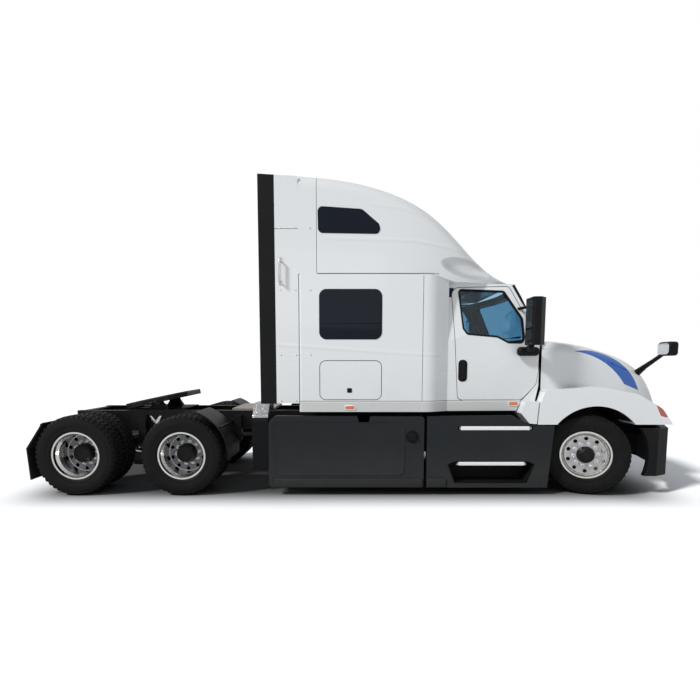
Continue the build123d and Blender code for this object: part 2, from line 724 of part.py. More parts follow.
back = ((roof_outer - below) + sleeper_outer) & back_slab
floor = plan_prism(sleeper_inside, CAB_BOTTOM, CAB_BOTTOM + FLOOR) & block(
    (SLEEPER_REAR_X + BACK_WALL, CAB_REAR_X), (-1300, 1300), (CAB_BOTTOM, CAB_BOTTOM + FLOOR)
)
floor = floor + block((CAB_REAR_X - 1, 1960), (-940, 940), (CAB_BOTTOM, CAB_BOTTOM + FLOOR))

# window and door outlines, x and z
UPPER_WINDOW = [(-503, 3504), (-498, 3195), (261, 3183), (225, 3300), (23, 3469)]
LOWER_WINDOW = [(-490, 1943), (270, 1943), (270, 2543), (-490, 2543)]
LUGGAGE_DOOR = [(-482, 1214), (264, 1214), (264, 1683), (-482, 1683)]
DOOR = [
    (1238, DOOR_BOTTOM), (2046, DOOR_BOTTOM), (2226, 1386), (CAB_FRONT_X - GAP, 1560), (CAB_FRONT_X - GAP, 1880),
    (1864, 2608), (1150, 2590),
]
DOOR_RADII = [60, 60, 60, 60, 200, 60, 90]
DOOR_WINDOW = [
    (1235, 2573), (1803, 2550), (2027, 2210), (2061, 1976), (2046, 1910), (1864, 1910), (1720, 1983), (1339, 2015), (1290, 2085),
]
DOOR_WINDOW_RADII = [40, 50, 100, 40, 40, 60, 60, 40, 40]


def cut_prism(points, radii, margin=0):
    face = inset_face(face_of(points, radii), -margin) if margin else face_of(points, radii)
    plane = Plane(origin=(0, -1400, 0), x_dir=(1, 0, 0), z_dir=(0, -1, 0))
    return extrude(plane * face, amount=-700)


upper_window = cut_prism(UPPER_WINDOW, [60, 60, 60, 60, 90])
lower_window = cut_prism(LOWER_WINDOW, 90)
luggage = cut_prism(LUGGAGE_DOOR, 70)
luggage_hole = cut_prism(LUGGAGE_DOOR, 70, GAP)
door_block = cut_prism(DOOR, DOOR_RADII)
door_hole = cut_prism(DOOR, DOOR_RADII, GAP)
door_window = cut_prism(DOOR_WINDOW, DOOR_WINDOW_RADII)


def both(shape):
    return shape + mirrored(shape)


def side_space(inset):
    # everything between the cab's side walls, without its front and rear ends
    front_x = CAB_FRONT_X + 140
    slope = (CAB_REAR_HALF_WIDTH + 5 - CAB_FRONT_HALF_WIDTH) / (CAB_FRONT_X - CAB_REAR_X + 100)
    rear = CAB_REAR_HALF_WIDTH + 5 + 100 * slope
    front = CAB_FRONT_HALF_WIDTH - 140 * slope
    plan = plan_prism(symmetric([(CAB_REAR_X - 200, rear - inset), (front_x, front - inset)]), 900, 2800)
    return plan & cab_lean(inset)


sides = sleeper_shell - back_slab - both(lower_window) - both(luggage_hole) - floor
keep("sleeper_sides", sides)
keep("sleeper_back", back)
keep("cab_floor", floor)
roof = (roof_outer - roof_void) - below - back_slab - both(upper_window)
keep("roof_fairing", roof)

screen_outline = upright([(940, 1975), (860, 2585)])
screen_cut = front_prism(screen_outline, 1500, 2700, 80)
screen_skin = (cab_volume(6) - cab_volume(6 + GLASS)) & screen_cut
keep("windscreen", screen_skin)
keep("cab_shell", cab_shell - both(door_hole - side_space(WALL + GAP)) - screen_cut)

side_skin = sleeper_outer - plan_prism(symmetric([
    (SLEEPER_REAR_X - 60, BODY_HALF_WIDTH - 10), (SHOULDER_X - 12, BODY_HALF_WIDTH - 10), (CAB_REAR_X + 60, 900),
]), 0, 3000)
upper_glass = block((-700, 500), (-BODY_HALF_WIDTH + 2, -BODY_HALF_WIDTH + 10), (3000, 3600)) & upper_window
lower_glass = block((-700, 500), (-BODY_HALF_WIDTH + 2, -BODY_HALF_WIDTH + 10), (1800, 2700)) & lower_window
keep("sleeper_windows", *pair(upper_glass), *pair(lower_glass))

# doors: a slice of the wall as deep as the shell, with the window let in
door_skin = (cab_outer & door_block) - side_space(WALL)
door_right = door_skin - door_window
glass_right = (cab_volume(18) - cab_volume(18 + GLASS)) & door_window
keep("door_right", door_right)
keep("door_left", mirrored(door_right))
keep("door_glass_right", glass_right)
keep("door_glass_left", mirrored(glass_right))

lid = luggage & block((-700, 500), (-BODY_HALF_WIDTH, -BODY_HALF_WIDTH + 40), (1100, 1800))
keep("luggage_door_right", lid)
keep("luggage_door_left", mirrored(lid))

# mirrors on the doors
MIRROR_Y = (-1490, -1240)
mirror_head = plan_prism(
    [(1985, MIRROR_Y[0]), (2075, MIRROR_Y[0]), (2165, -1400), (2165, -1300), (2075, MIRROR_Y[1]), (1985, MIRROR_Y[1])],
    1872,
    2418,
    [25, 40, 40, 40, 40, 25],
)
mirror_arm = rod((2050, -1300, 1862), (2060, -1040, 1800), 32) + rod((2050, -1300, 1880), (2050, -1300, 1800), 34)
mirror_upper = rod((2070, -1260, 2340), (1975, -1000, 2330), 18)
mirror_right = joined([mirror_head, mirror_arm, mirror_upper]) - cab_outer
keep("mirror_right", mirror_right)
keep("mirror_left", mirrored(mirror_right))

# side extenders behind the sleeper
EXTENDER_TOP = [(-1015, 3858), (-523, 3832)]
extender = side_prism([(-1015, 1165), (SLEEPER_REAR_X - 1, 1165), (SLEEPER_REAR_X - 1, 3845), (-1015, 3858)], -BODY_HALF_WIDTH, -BODY_HALF_WIDTH + 30)
edge = side_prism([(-1210, 1160), (-1015, 1160), (-1015, 3860), (-1210, 3871)], -BODY_HALF_WIDTH, -BODY_HALF_WIDTH + 18)
extender = extender + side_prism([(SLEEPER_REAR_X - 60, 1165), (SLEEPER_REAR_X, 1165), (SLEEPER_REAR_X, 3700), (SLEEPER_REAR_X - 60, 3700)], -BODY_HALF_WIDTH, -BODY_HALF_WIDTH + 80)
keep("side_extenders", *pair(extender))
keep("extender_edges", *pair(edge))

# ---------------------------------------------------------------- interior
def seat(y):
    cushion = block((1090, 1600), (y - 255, y + 255), (1440, 1580))
    back_rest = side_prism([(1090, 1500), (1220, 1500), (1110, 2230), (1000, 2230)], y - 250, y + 250, [30, 30, 50, 50])
    base = block((1170, 1540), (y - 180, y + 180), (CAB_BOTTOM + FLOOR, 1440))
    return joined([cushion, back_rest, base])


bunk = block((SLEEPER_REAR_X + 60, 100), (-1080, 1080), (1690, 1860)) + block((-600, -560), (-1080, 1080), (CAB_BOTTOM + FLOOR, 1690))
keep("cab_interior", seat(-520), seat(520), bunk)

dash = side_prism([(2195, 1330), (2205, 1860), (1960, 1800), (1900, 1660), (1960, 1560), (2060, 1330)], -930, 930)
column = rod((2030, 520, 1560), (1800, 520, 1730), 30)
keep("dashboard", (dash + column) & cab_volume(WALL + 6))

wheel_axis = Vector(-230, 0, 170).normalized()
steering_plane = Plane(origin=Vector(1792, 520, 1736), z_dir=wheel_axis)
steering = Torus(215, 14) + Cylinder(50, 30) + Box(430, 34, 12)
keep("steering_wheel", steering_plane.location * (Pos(0, 0, 20) * steering))

# ---------------------------------------------------------------- hood
# x, half width, edge height, centre height, corner radius
HOOD_SECTIONS = [
    (2200, 1045, 1965, 2020, 130),
    (2700, 1010, 1906, 1970, 150),
    (3100, 960, 1822, 1895, 160),
    (3450, 900, 1708, 1800, 170),
    (3700, 835, 1560, 1680, 180),
    (3900, 740, 1330, 1480, 170),
    (4040, 620, 1080, 1230, 110),
    (4110, 520, 960, 1060, 50),
]


def hood_section(x, half, edge, centre, radius, inset):
    half = half - inset
    edge = edge - inset
    centre = centre - inset
    radius = max(radius - inset, 8)
    low = HOOD_BOTTOM
    k = radius * (1 - sqrt(0.5))
    lines = [
        Line((-half, low), (half, low)),
        Line((half, low), (half, edge - radius)),
        ThreePointArc((half, edge - radius), (half - k, edge - k), (half - radius, edge)),
        ThreePointArc((half - radius, edge), (0, centre), (-half + radius, edge)),
        ThreePointArc((-half + radius, edge), (-half + k, edge - k), (-half, edge - radius)),
        Line((-half, edge - radius), (-half, low)),
    ]
    return Plane.YZ.offset(x) * make_face(lines)


def hood_core(inset):
    faces = []
    for x, half, edge, centre, radius in HOOD_SECTIONS:
        shift = -inset * 0.9 if x > 3600 else 0
        faces.append(hood_section(x + shift, half, edge, centre, radius, inset))
    return loft(faces)


def hood_space():
    # the hollow under the hood: straight-sided sections clear of the skin by its thickness
    faces = []
    for x, half, edge, centre, radius in HOOD_SECTIONS[:-1]:
        deep = HOOD_SKIN if x < 3600 else HOOD_SKIN * 1.6
        reach = x - deep if x > 3600 else x
        chamfer = radius * 0.62
        crown = edge + 0.75 * (centre - edge) - deep
        rows = [
            (half - deep, HOOD_BOTTOM), (half - deep, edge - deep - chamfer),
            (half - deep - chamfer, edge - deep - 4), (0.42 * half, crown),
        ]
        faces.append(Plane.YZ.offset(reach) * face_of(upright(rows)))
    return loft(faces, ruled=True)


FENDER = [(2212, 900), (2232, 1150), (2290, 1330), (2934, 1370), (3430, 1280), (3740, 1100), (3885, 900)]


def fender_volume(inset):
    face = face_of(FENDER, [1, 1, 60, 600, 400, 200, 1])
    plane = Plane(origin=(0, -FENDER_HALF_WIDTH + inset, 0), x_dir=(1, 0, 0), z_dir=(0, -1, 0))
    body = extrude(plane * inset_face(face, inset), amount=-500)
    return body


def hood_volume(inset):
    wing = fender_volume(inset)
    return hood_core(inset) + wing + mirrored(wing)


hood_outer = hood_volume(0)
hood_inner = hood_space() + both(fender_volume(HOOD_SKIN))
arch = rod((ARCH_X, -1300, ARCH_Z), (ARCH_X, 1300, ARCH_Z), ARCH_RADIUS)
cowl_line = extrude(Plane.XY.offset(800) * offset(cab_plan(), amount=14, kind=Kind.INTERSECTION), amount=1500)
grille_hole = front_prism(upright([(430, 950), (500, 1300), (440, 1420)]), 3600, 4200, 40)
lamp_hole = side_prism([(3640, 1190), (3720, 1010), (3800, 985), (3830, 1040), (3740, 1210)], -1250, -560, 20)
hood = hood_outer - hood_inner - arch - cowl_line - grille_hole - both(lamp_hole)
hood_rear_cut = block((2000, 2290), (-1300, 1300), (1395, 2100))
hood = hood - hood_rear_cut
keep("hood", hood)

grille_band = (hood_core(4) - hood_core(40)) & grille_hole
slots = [
    front_prism([(-380, z), (380, z), (400, z + 34), (-400, z + 34)], 3500, 4300)
    for z in range(990, 1380, 62)
]
keep("grille", grille_band - joined(slots))

lamp = (hood_outer - hood_volume(45)) & lamp_hole
keep("headlamps", *pair(lamp))

hood_mirror = plan_prism(
    [(3640, -1380), (3720, -1400), (3760, -1360), (3740, -1180), (3680, -1160), (3630, -1200)], 1740, 1915, 20
) + rod((3680, -1230, 1760), (3560, -850, 1560), 20)
hood_mirror = hood_mirror - hood_outer
keep("hood_mirrors", *pair(hood_mirror))

liner = rod((ARCH_X, -1165, ARCH_Z), (ARCH_X, -560, ARCH_Z), 655) - rod((ARCH_X, -1300, ARCH_Z), (ARCH_X, -500, ARCH_Z), 635)
liner = liner & block((2240, 3560), (-1165, -560), (HOOD_BOTTOM, 1200))
liner = liner - (hood_outer - hood_inner)
keep("fender_liners", *pair(liner))

# ---------------------------------------------------------------- cab corner panels
corner = side_prism([(2197, 905), (2216, 1150), (2225, 1186), (2046, 1186), (2000, 1040), (2110, 912)], -1190, -940)
corner_top = side_prism(
    [(2051, 1180), (2222, 1180), (2232, 1230), (2252, 1330), (2263, 1396), (2238, 1384)], -1042, -1002
)
corner = corner + corner_top - cab_outer - door_hole - steer_clearance
keep("cab_corners", *pair(corner))

# ---------------------------------------------------------------- tie rod
tie = rod((left_x, left_y, TIE_ROD_Z), (right_x, right_y, TIE_ROD_Z), 22)
for x, y in ((left_x, left_y), (right_x, right_y)):
    tie = tie + Pos(x, y, TIE_ROD_Z) * Cylinder(30, 50)
keep("tie_rod", tie)

for name, solids in nodes.items():
    shape = solids[0] if len(solids) == 1 else Compound(children=solids)
    export_step(shape, "parts/" + name + ".step")
    box = shape.bounding_box()
    print(name, len(solids), [round(v) for v in (*box.min, *box.max)])
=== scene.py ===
from math import atan2, cos, pi, radians, sin, sqrt, tan

import bmesh
import bpy
from mathutils import Matrix, Vector
from mathutils.bvhtree import BVHTree


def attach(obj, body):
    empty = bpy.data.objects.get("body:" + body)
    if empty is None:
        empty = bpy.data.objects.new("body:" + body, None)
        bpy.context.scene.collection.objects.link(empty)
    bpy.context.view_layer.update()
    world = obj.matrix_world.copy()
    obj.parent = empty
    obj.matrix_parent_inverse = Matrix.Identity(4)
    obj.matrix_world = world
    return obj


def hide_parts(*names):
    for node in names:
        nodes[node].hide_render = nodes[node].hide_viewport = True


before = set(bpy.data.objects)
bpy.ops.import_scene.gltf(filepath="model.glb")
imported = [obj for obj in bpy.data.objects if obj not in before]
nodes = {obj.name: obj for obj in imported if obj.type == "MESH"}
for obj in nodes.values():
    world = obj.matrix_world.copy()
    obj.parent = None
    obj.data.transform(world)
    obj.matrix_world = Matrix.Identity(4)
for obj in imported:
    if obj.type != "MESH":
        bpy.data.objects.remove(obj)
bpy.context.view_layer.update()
sides = {"right": -1, "left": 1}
print("frame loaded with", len(nodes), "nodes")


# shader helpers

class Wire:
    # one socket, so that shader maths reads as maths
    def __init__(self, shader, socket):
        self.shader = shader
        self.socket = socket

    def maths(self, operation, *values):
        return self.shader.node("ShaderNodeMath", {"operation": operation}, values)

    def __add__(self, other):
        return self.maths("ADD", self, other)

    __radd__ = __add__

    def __sub__(self, other):
        return self.maths("SUBTRACT", self, other)

    def __rsub__(self, other):
        return self.maths("SUBTRACT", other, self)

    def __mul__(self, other):
        return self.maths("MULTIPLY", self, other)

    __rmul__ = __mul__

    def __truediv__(self, other):
        return self.maths("DIVIDE", self, other)

    def __pow__(self, other):
        return self.maths("POWER", self, other)

    def __abs__(self):
        return self.maths("ABSOLUTE", self)

    def most(self, other):
        return self.maths("MAXIMUM", self, other)

    def above(self, edge):
        return self.maths("GREATER_THAN", self, edge)

    def below(self, edge):
        return self.maths("LESS_THAN", self, edge)

    def between(self, low, high):
        return self.above(low) * self.below(high)

    def wave(self, pitch):
        return self.maths("SINE", self * (2 * pi / pitch))

    def ramp(self, low, high):
        # 0 at low, 1 at high, smooth between
        inputs = {0: self, 1: low, 2: high, 3: 0.0, 4: 1.0}
        return self.shader.node("ShaderNodeMapRange", {"interpolation_type": "SMOOTHSTEP"}, inputs)


class Shader:
    # the nodes of a new material, or of the world that is handed in
    def __init__(self, name, world=None):
        self.owner = world or bpy.data.materials.new(name)
        self.owner.use_nodes = True
        self.tree = self.owner.node_tree
        self.tree.nodes.clear()
        if not world:
            self.place = self.node("ShaderNodeTexCoord", output="Object")

    def node(self, kind, settings=None, inputs=None, output=0):
        made = self.tree.nodes.new(kind)
        for key, value in (settings or {}).items():
            setattr(made, key, value)
        pairs = inputs.items() if isinstance(inputs, dict) else enumerate(inputs or ())
        for key, value in pairs:
            if isinstance(value, Wire):
                self.tree.links.new(value.socket, made.inputs[key])
            else:
                made.inputs[key].default_value = value
        return Wire(self, made.outputs[output]) if made.outputs else None

    def mix(self, factor, first, second):
        return self.node("ShaderNodeMix", {"data_type": "RGBA"}, {0: factor, 6: first, 7: second}, output=2)

    def noise(self, scale, detail=3.0, rough=0.55):
        inputs = {"Vector": self.place, "Scale": scale, "Detail": detail, "Roughness": rough}
        return self.node("ShaderNodeTexNoise", None, inputs)

    def cells(self, scale, place=None):
        return self.node("ShaderNodeTexVoronoi", None, {"Vector": place or self.place, "Scale": scale})

    def turned(self, location, rotation):
        # Object coordinates seen from a place on the truck
        inputs = {"Vector": self.place, "Location": location, "Rotation": rotation}
        return self.node("ShaderNodeMapping", {"vector_type": "TEXTURE"}, inputs)

    def split(self, axes="xyz", place=None):
        inputs = {0: place or self.place}
        return [self.node("ShaderNodeSeparateXYZ", None, inputs, output="xyz".index(axis)) for axis in axes]

    def done(self, height=None, depth=0.001, strength=1.0, **sockets):
        # sockets are written with _ for a space, such as Base_Color
        values = {key.replace("_", " "): value for key, value in sockets.items()}
        if height is not None:
            bump = {"Height": height, "Distance": depth, "Strength": strength}
            values["Normal"] = self.node("ShaderNodeBump", None, bump)
        skin = self.node("ShaderNodeBsdfPrincipled", None, values)
        self.node("ShaderNodeOutputMaterial", None, {"Surface": skin})
        return self.owner


# finishes

paintLook = {
    "white": (0.83, 0.85, 0.86, 1),
    "film": (0.46, 0.45, 0.43, 1),  # road film that gathers low down, also mixed in as painted shade on the sill band
    "blue": (0.0, 0.100, 0.46, 1),
    "gap": (0.03, 0.032, 0.035, 1),  # a panel gap or groove
    "roughness": 0.26,
    "coat": 0.9,
    "peel": 0.00012,  # orange peel in the lacquer
    "gapWidth": 0.006,
    "gapAcross": (1.0, 1.3),  # gaps are only on the flanks
    "crease": 0.006,  # how far a pressed ridge stands out
    "creaseWidth": 0.035,
    "trim": (0.070, 0.072, 0.078, 1),  # lining on the inner faces of cab, doors and sleeper
    "sill": (1.165, 1.190),  # painted shade on the sill band: the band below fades out between these heights
}


def creaseRidge(x, z, points):
    # a soft pressed ridge along straight runs between points in X and Z, in order of X
    ridge = 0.0
    for (x0, z0), (x1, z1) in zip(points, points[1:]):
        slope = (z1 - z0) / (x1 - x0)
        line = abs(z - x * slope - (z0 - x0 * slope))
        ridge = (1 - line.ramp(0.0, paintLook["creaseWidth"])) * x.between(x0, x1) + ridge
    return ridge


def whitePaint(name, gaps=(), stripe=None, creases=(), soiled=0.30, sillPaintedShade=0.0, dish=None, lined=False):
    # creases are rows of points in X and Z; a dish is a middle, half sizes, slope and depth
    # gaps are rows of axis, place, and the stretch of the other axis that the gap runs along
    s = Shader(name)
    x, y, z = s.split()
    cloud = s.noise(0.9, 2.0)
    film = (1 - z.ramp(0.95, 1.9)) * s.noise(3.5, 5.0) * soiled
    specks = s.cells(42.0).below(0.10) * s.noise(2.2).above(0.58) * 0.25
    colour = s.mix(film + cloud * 0.03, paintLook["white"], paintLook["film"])
    colour = s.mix(specks, colour, paintLook["film"])
    rough = film * 0.5 + cloud * 0.06 + (paintLook["roughness"] - 0.03)
    coat = paintLook["coat"]
    if stripe:
        colour = s.mix(stripe(x, y, z), colour, paintLook["blue"])
    if lined:
        acrossFace, upFace = s.split("yz", s.node("ShaderNodeNewGeometry", output="Normal"))
        inside = (y * acrossFace).below(-0.12) * abs(y).above(0.4) * x.below(2.24)
        inside = inside.most(upFace.below(-0.35) * z.above(2.3) * abs(y).below(1.12))
        colour = s.mix(inside, colour, paintLook["trim"])
        rough = rough + inside * 0.45
        coat = (1 - inside) * coat
    # painted shade: the sill band takes the film colour, standing for a sill that turns under into shade
    if sillPaintedShade:
        colour = s.mix((1 - z.ramp(*paintLook["sill"])) * sillPaintedShade, colour, paintLook["film"])
    height = s.noise(240.0, 1.0)
    if gaps:
        mask = 0.0
        for axis, place, along in gaps:
            over, other = (x, z) if axis == "x" else (z, x)
            mask = abs(over - place).below(paintLook["gapWidth"] / 2) * other.between(*along) + mask
        mask = mask * abs(y).between(*paintLook["gapAcross"])
        colour = s.mix(mask, colour, paintLook["gap"])
        height = height - mask * 4.0
    if dish:
        (middleX, middleZ), (long, tall), slope, deep = dish
        across = (x - middleX) / long
        up = (z - middleZ + (x - middleX) * slope) / tall
        sunk = 1 - (across * across + up * up).ramp(0.0, 1.0)
        height = height - sunk * (deep / paintLook["peel"])
    for points in creases:
        height = height + creaseRidge(x, z, points) * (paintLook["crease"] / paintLook["peel"])
    return s.done(
        Base_Color=colour, Roughness=rough, Coat_Weight=coat, Coat_Roughness=0.05,
        height=height, depth=paintLook["peel"], strength=0.6,
    )


stripeLook = {
    "outer": (2.871, 0.978, 0.843),  # arcs as X, Z and radius
    "inner": (2.603, 0.802, 1.011),
    "tail": (3.427, 1.388, 0.371),  # a point and slope of the straight lower end
    "flank": 0.55, "start": 2.70,
}


def hoodStripe(x, y, z):
    # a crescent on each flank of the hood: inside the outer arc, outside the inner one and above the tail
    def reach(arc):
        across, up = x - stripeLook[arc][0], z - stripeLook[arc][1]
        return (across * across + up * up) ** 0.5 - stripeLook[arc][2]

    tailX, tailZ, slope = stripeLook["tail"]
    tail = z - tailZ + (x - tailX) * slope
    crescent = reach("outer").below(0.0) * reach("inner").above(0.0) * tail.above(0.0)
    return crescent * abs(y).above(stripeLook["flank"]) * x.above(stripeLook["start"])


plasticLook = {
    "charcoal": (0.016, 0.019, 0.022, 1),
    "black": (0.0028, 0.0032, 0.0045, 1),
    "dash": (0.045, 0.046, 0.050, 1),
    "dust": (0.075, 0.070, 0.062, 1),
    "grain": 0.00018,
    "shine": 0.14,
}


def mouldedPlastic(name, colour, rough=0.46, dustTop=0.0, grainScale=900.0):
    # dustTop is the height up to which road dust gathers
    s = Shader(name)
    grain = s.cells(grainScale)
    dust = s.noise(2.0, 4.0) * 0.12
    if dustTop:
        (z,) = s.split("z")
        dust = dust + (1 - z.ramp(0.08, dustTop)) * s.noise(5.0, 6.0) * 0.42
    base = s.mix(dust, colour, plasticLook["dust"])
    rough = grain * 0.10 + dust * 0.5 + (rough - 0.04)
    return s.done(
        Base_Color=base, Roughness=rough, Specular_IOR_Level=plasticLook["shine"], height=grain,
        depth=plasticLook["grain"],
    )


chassisLook = {
    "paint": (0.006, 0.006, 0.007, 1),
    "dirt": (0.020, 0.017, 0.015, 1),
    "grease": (0.010, 0.0095, 0.009, 1),
    "bare": (0.23, 0.22, 0.21, 1),
}


def chassisPaint(name):
    s = Shader(name)
    grime = s.noise(4.0, 7.0, 0.62)
    chips = s.noise(38.0, 4.0).above(0.71)
    base = s.mix(grime.ramp(0.45, 0.78) * 0.45, chassisLook["paint"], chassisLook["dirt"])
    base = s.mix(chips * 0.25, base, chassisLook["bare"])
    return s.done(
        Base_Color=base, Roughness=grime * 0.35 + 0.30, Specular_IOR_Level=0.18,
        height=s.noise(95.0, 3.0), depth=0.0006, strength=0.7,
    )


def greasedSteel(name):
    s = Shader(name)
    smear = s.noise(9.0, 6.0, 0.7)
    rub = s.noise(2.4, 2.0).ramp(0.52, 0.72)
    base = s.mix(rub * 0.5, chassisLook["grease"], chassisLook["bare"])
    return s.done(
        Base_Color=base, Metallic=rub * 0.8, Roughness=smear * 0.45 + 0.14, height=smear, depth=0.0025,
        strength=0.8,
    )


metalLook = {
    "bright": (0.80, 0.79, 0.77, 1),
    "plate": (0.66, 0.65, 0.62, 1),
    "soot": (0.035, 0.031, 0.028, 1),
    "chrome": (0.86, 0.87, 0.88, 1),
    "worn": (0.33, 0.30, 0.255, 1),
    "dish": (0.055, 0.060, 0.075, 1),  # brake dust, and painted shade and painted dark reflection, on a wheel's sunken face
    "iron": (0.10, 0.10, 0.10, 1),
    "oil": (0.02, 0.017, 0.013, 1),
    "coreDark": (0.04, 0.04, 0.042, 1),
    "coreFin": (0.30, 0.30, 0.30, 1),
    "mirror": (0.88, 0.90, 0.93, 1),
    "step": (0.97, 0.97, 0.97, 1),
    "drum": 0.217,  # radius of the brake drum
    "dished": (0.236, 0.06),  # radius of the sunken face, and how far it reaches out
}


def wheelMetal(name, centre, turn, side, faceY, dish):
    # polished outside the mounting face, dark brake drum behind it; centre and turn place the wheel
    s = Shader(name)
    x, y, z = s.split(place=s.turned(centre, (0, 0, turn)))
    radius = (x * x + z * z) ** 0.5
    outward = y * side
    drum = radius.below(metalLook["drum"]) * outward.below(faceY)
    rings = radius.wave(0.0042)
    stain = s.noise(14.0, 5.0) * (1 - radius.ramp(0.12, 0.26))
    dust = s.noise(30.0, 4.0).ramp(0.45, 0.85) * 0.25
    base = s.mix(stain * 0.55 + dust, metalLook["bright"], metalLook["soot"])
    # the sunken face is darkened: partly brake dust, partly painted shade and painted dark reflection
    dishRadius, reach = metalLook["dished"]
    dished = radius.below(dishRadius) * outward.below(faceY + reach) * dish
    base = s.mix(dished, base, metalLook["dish"])
    base = s.mix(drum, base, metalLook["soot"])
    rough = stain * 0.25 + dust * 0.5 + 0.13
    return s.done(
        Base_Color=base, Metallic=1 - drum * 0.9, Roughness=rough + drum * 0.4,
        height=rings + s.noise(60.0, 2.0), depth=0.00008, strength=0.6,
    )


def brightMetal(name, colour=metalLook["chrome"], rough=0.09):
    s = Shader(name)
    spots = s.noise(70.0, 4.0).ramp(0.5, 0.9)
    base = s.mix(spots * 0.35, colour, metalLook["soot"])
    fine = s.noise(180.0)
    return s.done(Base_Color=base, Metallic=1.0, Roughness=spots * 0.25 + rough, height=fine, depth=0.0001)


def chequerPlate(name, pitch=0.036):
    # raised lozenges in two directions on rolled aluminium
    s = Shader(name)
    x, y, z = s.split()
    rising, falling = x + y + (z + y), x + y - (z + y)
    first = abs(rising.wave(pitch)) ** 7.0 * abs(falling.wave(pitch * 2)) ** 2.0
    second = abs(falling.wave(pitch)) ** 7.0 * (1 - abs(falling.wave(pitch * 2))) ** 0.5
    lozenge = first + second * abs(rising.wave(pitch * 2))
    scuff = s.noise(60.0, 5.0)
    soot = scuff.ramp(0.35, 0.8) * 0.22 + lozenge.ramp(0.1, 0.6) * 0.3
    base = s.mix(soot, metalLook["worn"], metalLook["soot"])
    return s.done(
        Base_Color=base, Metallic=0.85, Roughness=scuff * 0.3 + 0.26, height=lozenge, depth=0.0018, strength=1.0
    )


def stepMetal(name):
    # punched step plate: rows of teeth with worn tips
    s = Shader(name)
    x, y, z = s.split()
    teeth = abs(x.wave(0.064)) * abs((z + y * 0.7).wave(0.050))
    wear = s.noise(26.0, 4.0)
    base = s.mix(1 - teeth.ramp(0.12, 0.42), metalLook["plate"], metalLook["soot"])
    return s.done(
        Base_Color=base, Metallic=0.95, Roughness=wear * 0.35 + 0.2, height=teeth, depth=0.004, strength=1.0
    )


rubberLook = {"black": (0.0035, 0.0035, 0.0037, 1), "dust": (0.014, 0.013, 0.012, 1)}


def tyreRubber(name):
    s = Shader(name)
    dust = s.noise(7.0, 6.0, 0.65).ramp(0.42, 0.75)
    fine = s.noise(220.0, 3.0)
    base = s.mix(dust * 0.55, rubberLook["black"], rubberLook["dust"])
    return s.done(
        Base_Color=base, Roughness=dust * 0.2 + 0.58, Specular_IOR_Level=0.16, height=fine, depth=0.0005,
        strength=0.8,
    )


def rubberSeal(name):
    s = Shader(name)
    bloom = s.noise(30.0, 4.0)
    base = s.mix(bloom * 0.3, rubberLook["black"], rubberLook["dust"])
    fine = s.noise(400.0)
    rough = bloom * 0.2 + 0.5
    return s.done(Base_Color=base, Roughness=rough, Specular_IOR_Level=0.15, height=fine, depth=0.0002)


def castIron(name):
    s = Shader(name)
    oil = s.noise(5.0, 6.0)
    rough = s.noise(120.0, 5.0)
    base = s.mix(oil.ramp(0.4, 0.8) * 0.7, metalLook["iron"], metalLook["oil"])
    return s.done(Base_Color=base, Metallic=0.4, Roughness=oil * 0.4 + 0.35, height=rough, depth=0.001)


def finnedCore(name):
    s = Shader(name)
    y, z = s.split("yz")
    fins = abs(y.wave(0.012)) * 0.6 + abs(z.wave(0.020))
    base = s.mix(fins * 0.5, metalLook["coreDark"], metalLook["coreFin"])
    return s.done(Base_Color=base, Metallic=0.7, Roughness=fins * 0.2 + 0.4, height=fins, depth=0.003)


glassLook = {
    "sleeper": (0.003, 0.006, 0.013, 1),
    "sleeperHaze": (0.006, 0.011, 0.022, 1),
    "sleeperShine": 0.18,
    "dust": (0.7, 0.68, 0.62, 1),
    "lit": (1, 0.9, 0.8, 1),
    "cab": (0.25, 0.46, 0.60, 1),
    "lens": (0.93, 0.95, 0.96, 1),
    "amber": (0.72, 0.145, 0.018, 1),
    "red": (0.55, 0.012, 0.010, 1),
    "bowl": (0.62, 0.64, 0.66, 1),
    "corner": (0.42, 0.10, 0.055, 1),
}


def darkGlass(name):
    s = Shader(name)
    haze = s.noise(3.0, 4.0)
    base = s.mix(haze * 0.35, glassLook["sleeper"], glassLook["sleeperHaze"])
    return s.done(Base_Color=base, Roughness=haze * 0.05 + 0.03, Specular_IOR_Level=glassLook["sleeperShine"])


def clearGlass(name, tint, rough=0.0):
    s = Shader(name)
    film = s.noise(6.0, 5.0).ramp(0.5, 0.9)
    base = s.mix(film * 0.08, tint, glassLook["dust"])
    return s.done(Base_Color=base, Roughness=film * 0.02 + rough, Transmission_Weight=1.0, IOR=1.45)


def litLens(name, tint, glow):
    # ribbed coloured lens over a reflector
    s = Shader(name)
    x, z = s.split("xz")
    ribs = abs(x.wave(0.006)) + abs(z.wave(0.006))
    base = s.mix(ribs * 0.06, tint, glassLook["lit"])
    return s.done(
        Base_Color=base, Roughness=ribs * 0.06 + 0.08, Coat_Weight=0.8, Emission_Color=tint,
        Emission_Strength=glow, height=ribs, depth=0.0008,
    )


def lampUnit(name):
    # silvered bowls and an amber corner under one clear cover
    s = Shader(name)
    y, z = s.split("yz")
    ribs = abs(y.wave(0.022)) + abs(z.wave(0.044)) * 0.4
    shade = 1 - abs(z - 1.098).ramp(0.015, 0.085)
    base = s.mix(0.62 - shade * 0.5, glassLook["bowl"], metalLook["soot"])
    corner = abs(y).above(1.125)
    base = s.mix(corner, base, glassLook["corner"])
    return s.done(
        Base_Color=base, Metallic=(1 - corner) * 0.8, Roughness=ribs * 0.08 + 0.10, Coat_Weight=1.0,
        Coat_Roughness=0.02, height=ribs, depth=0.003,
    )


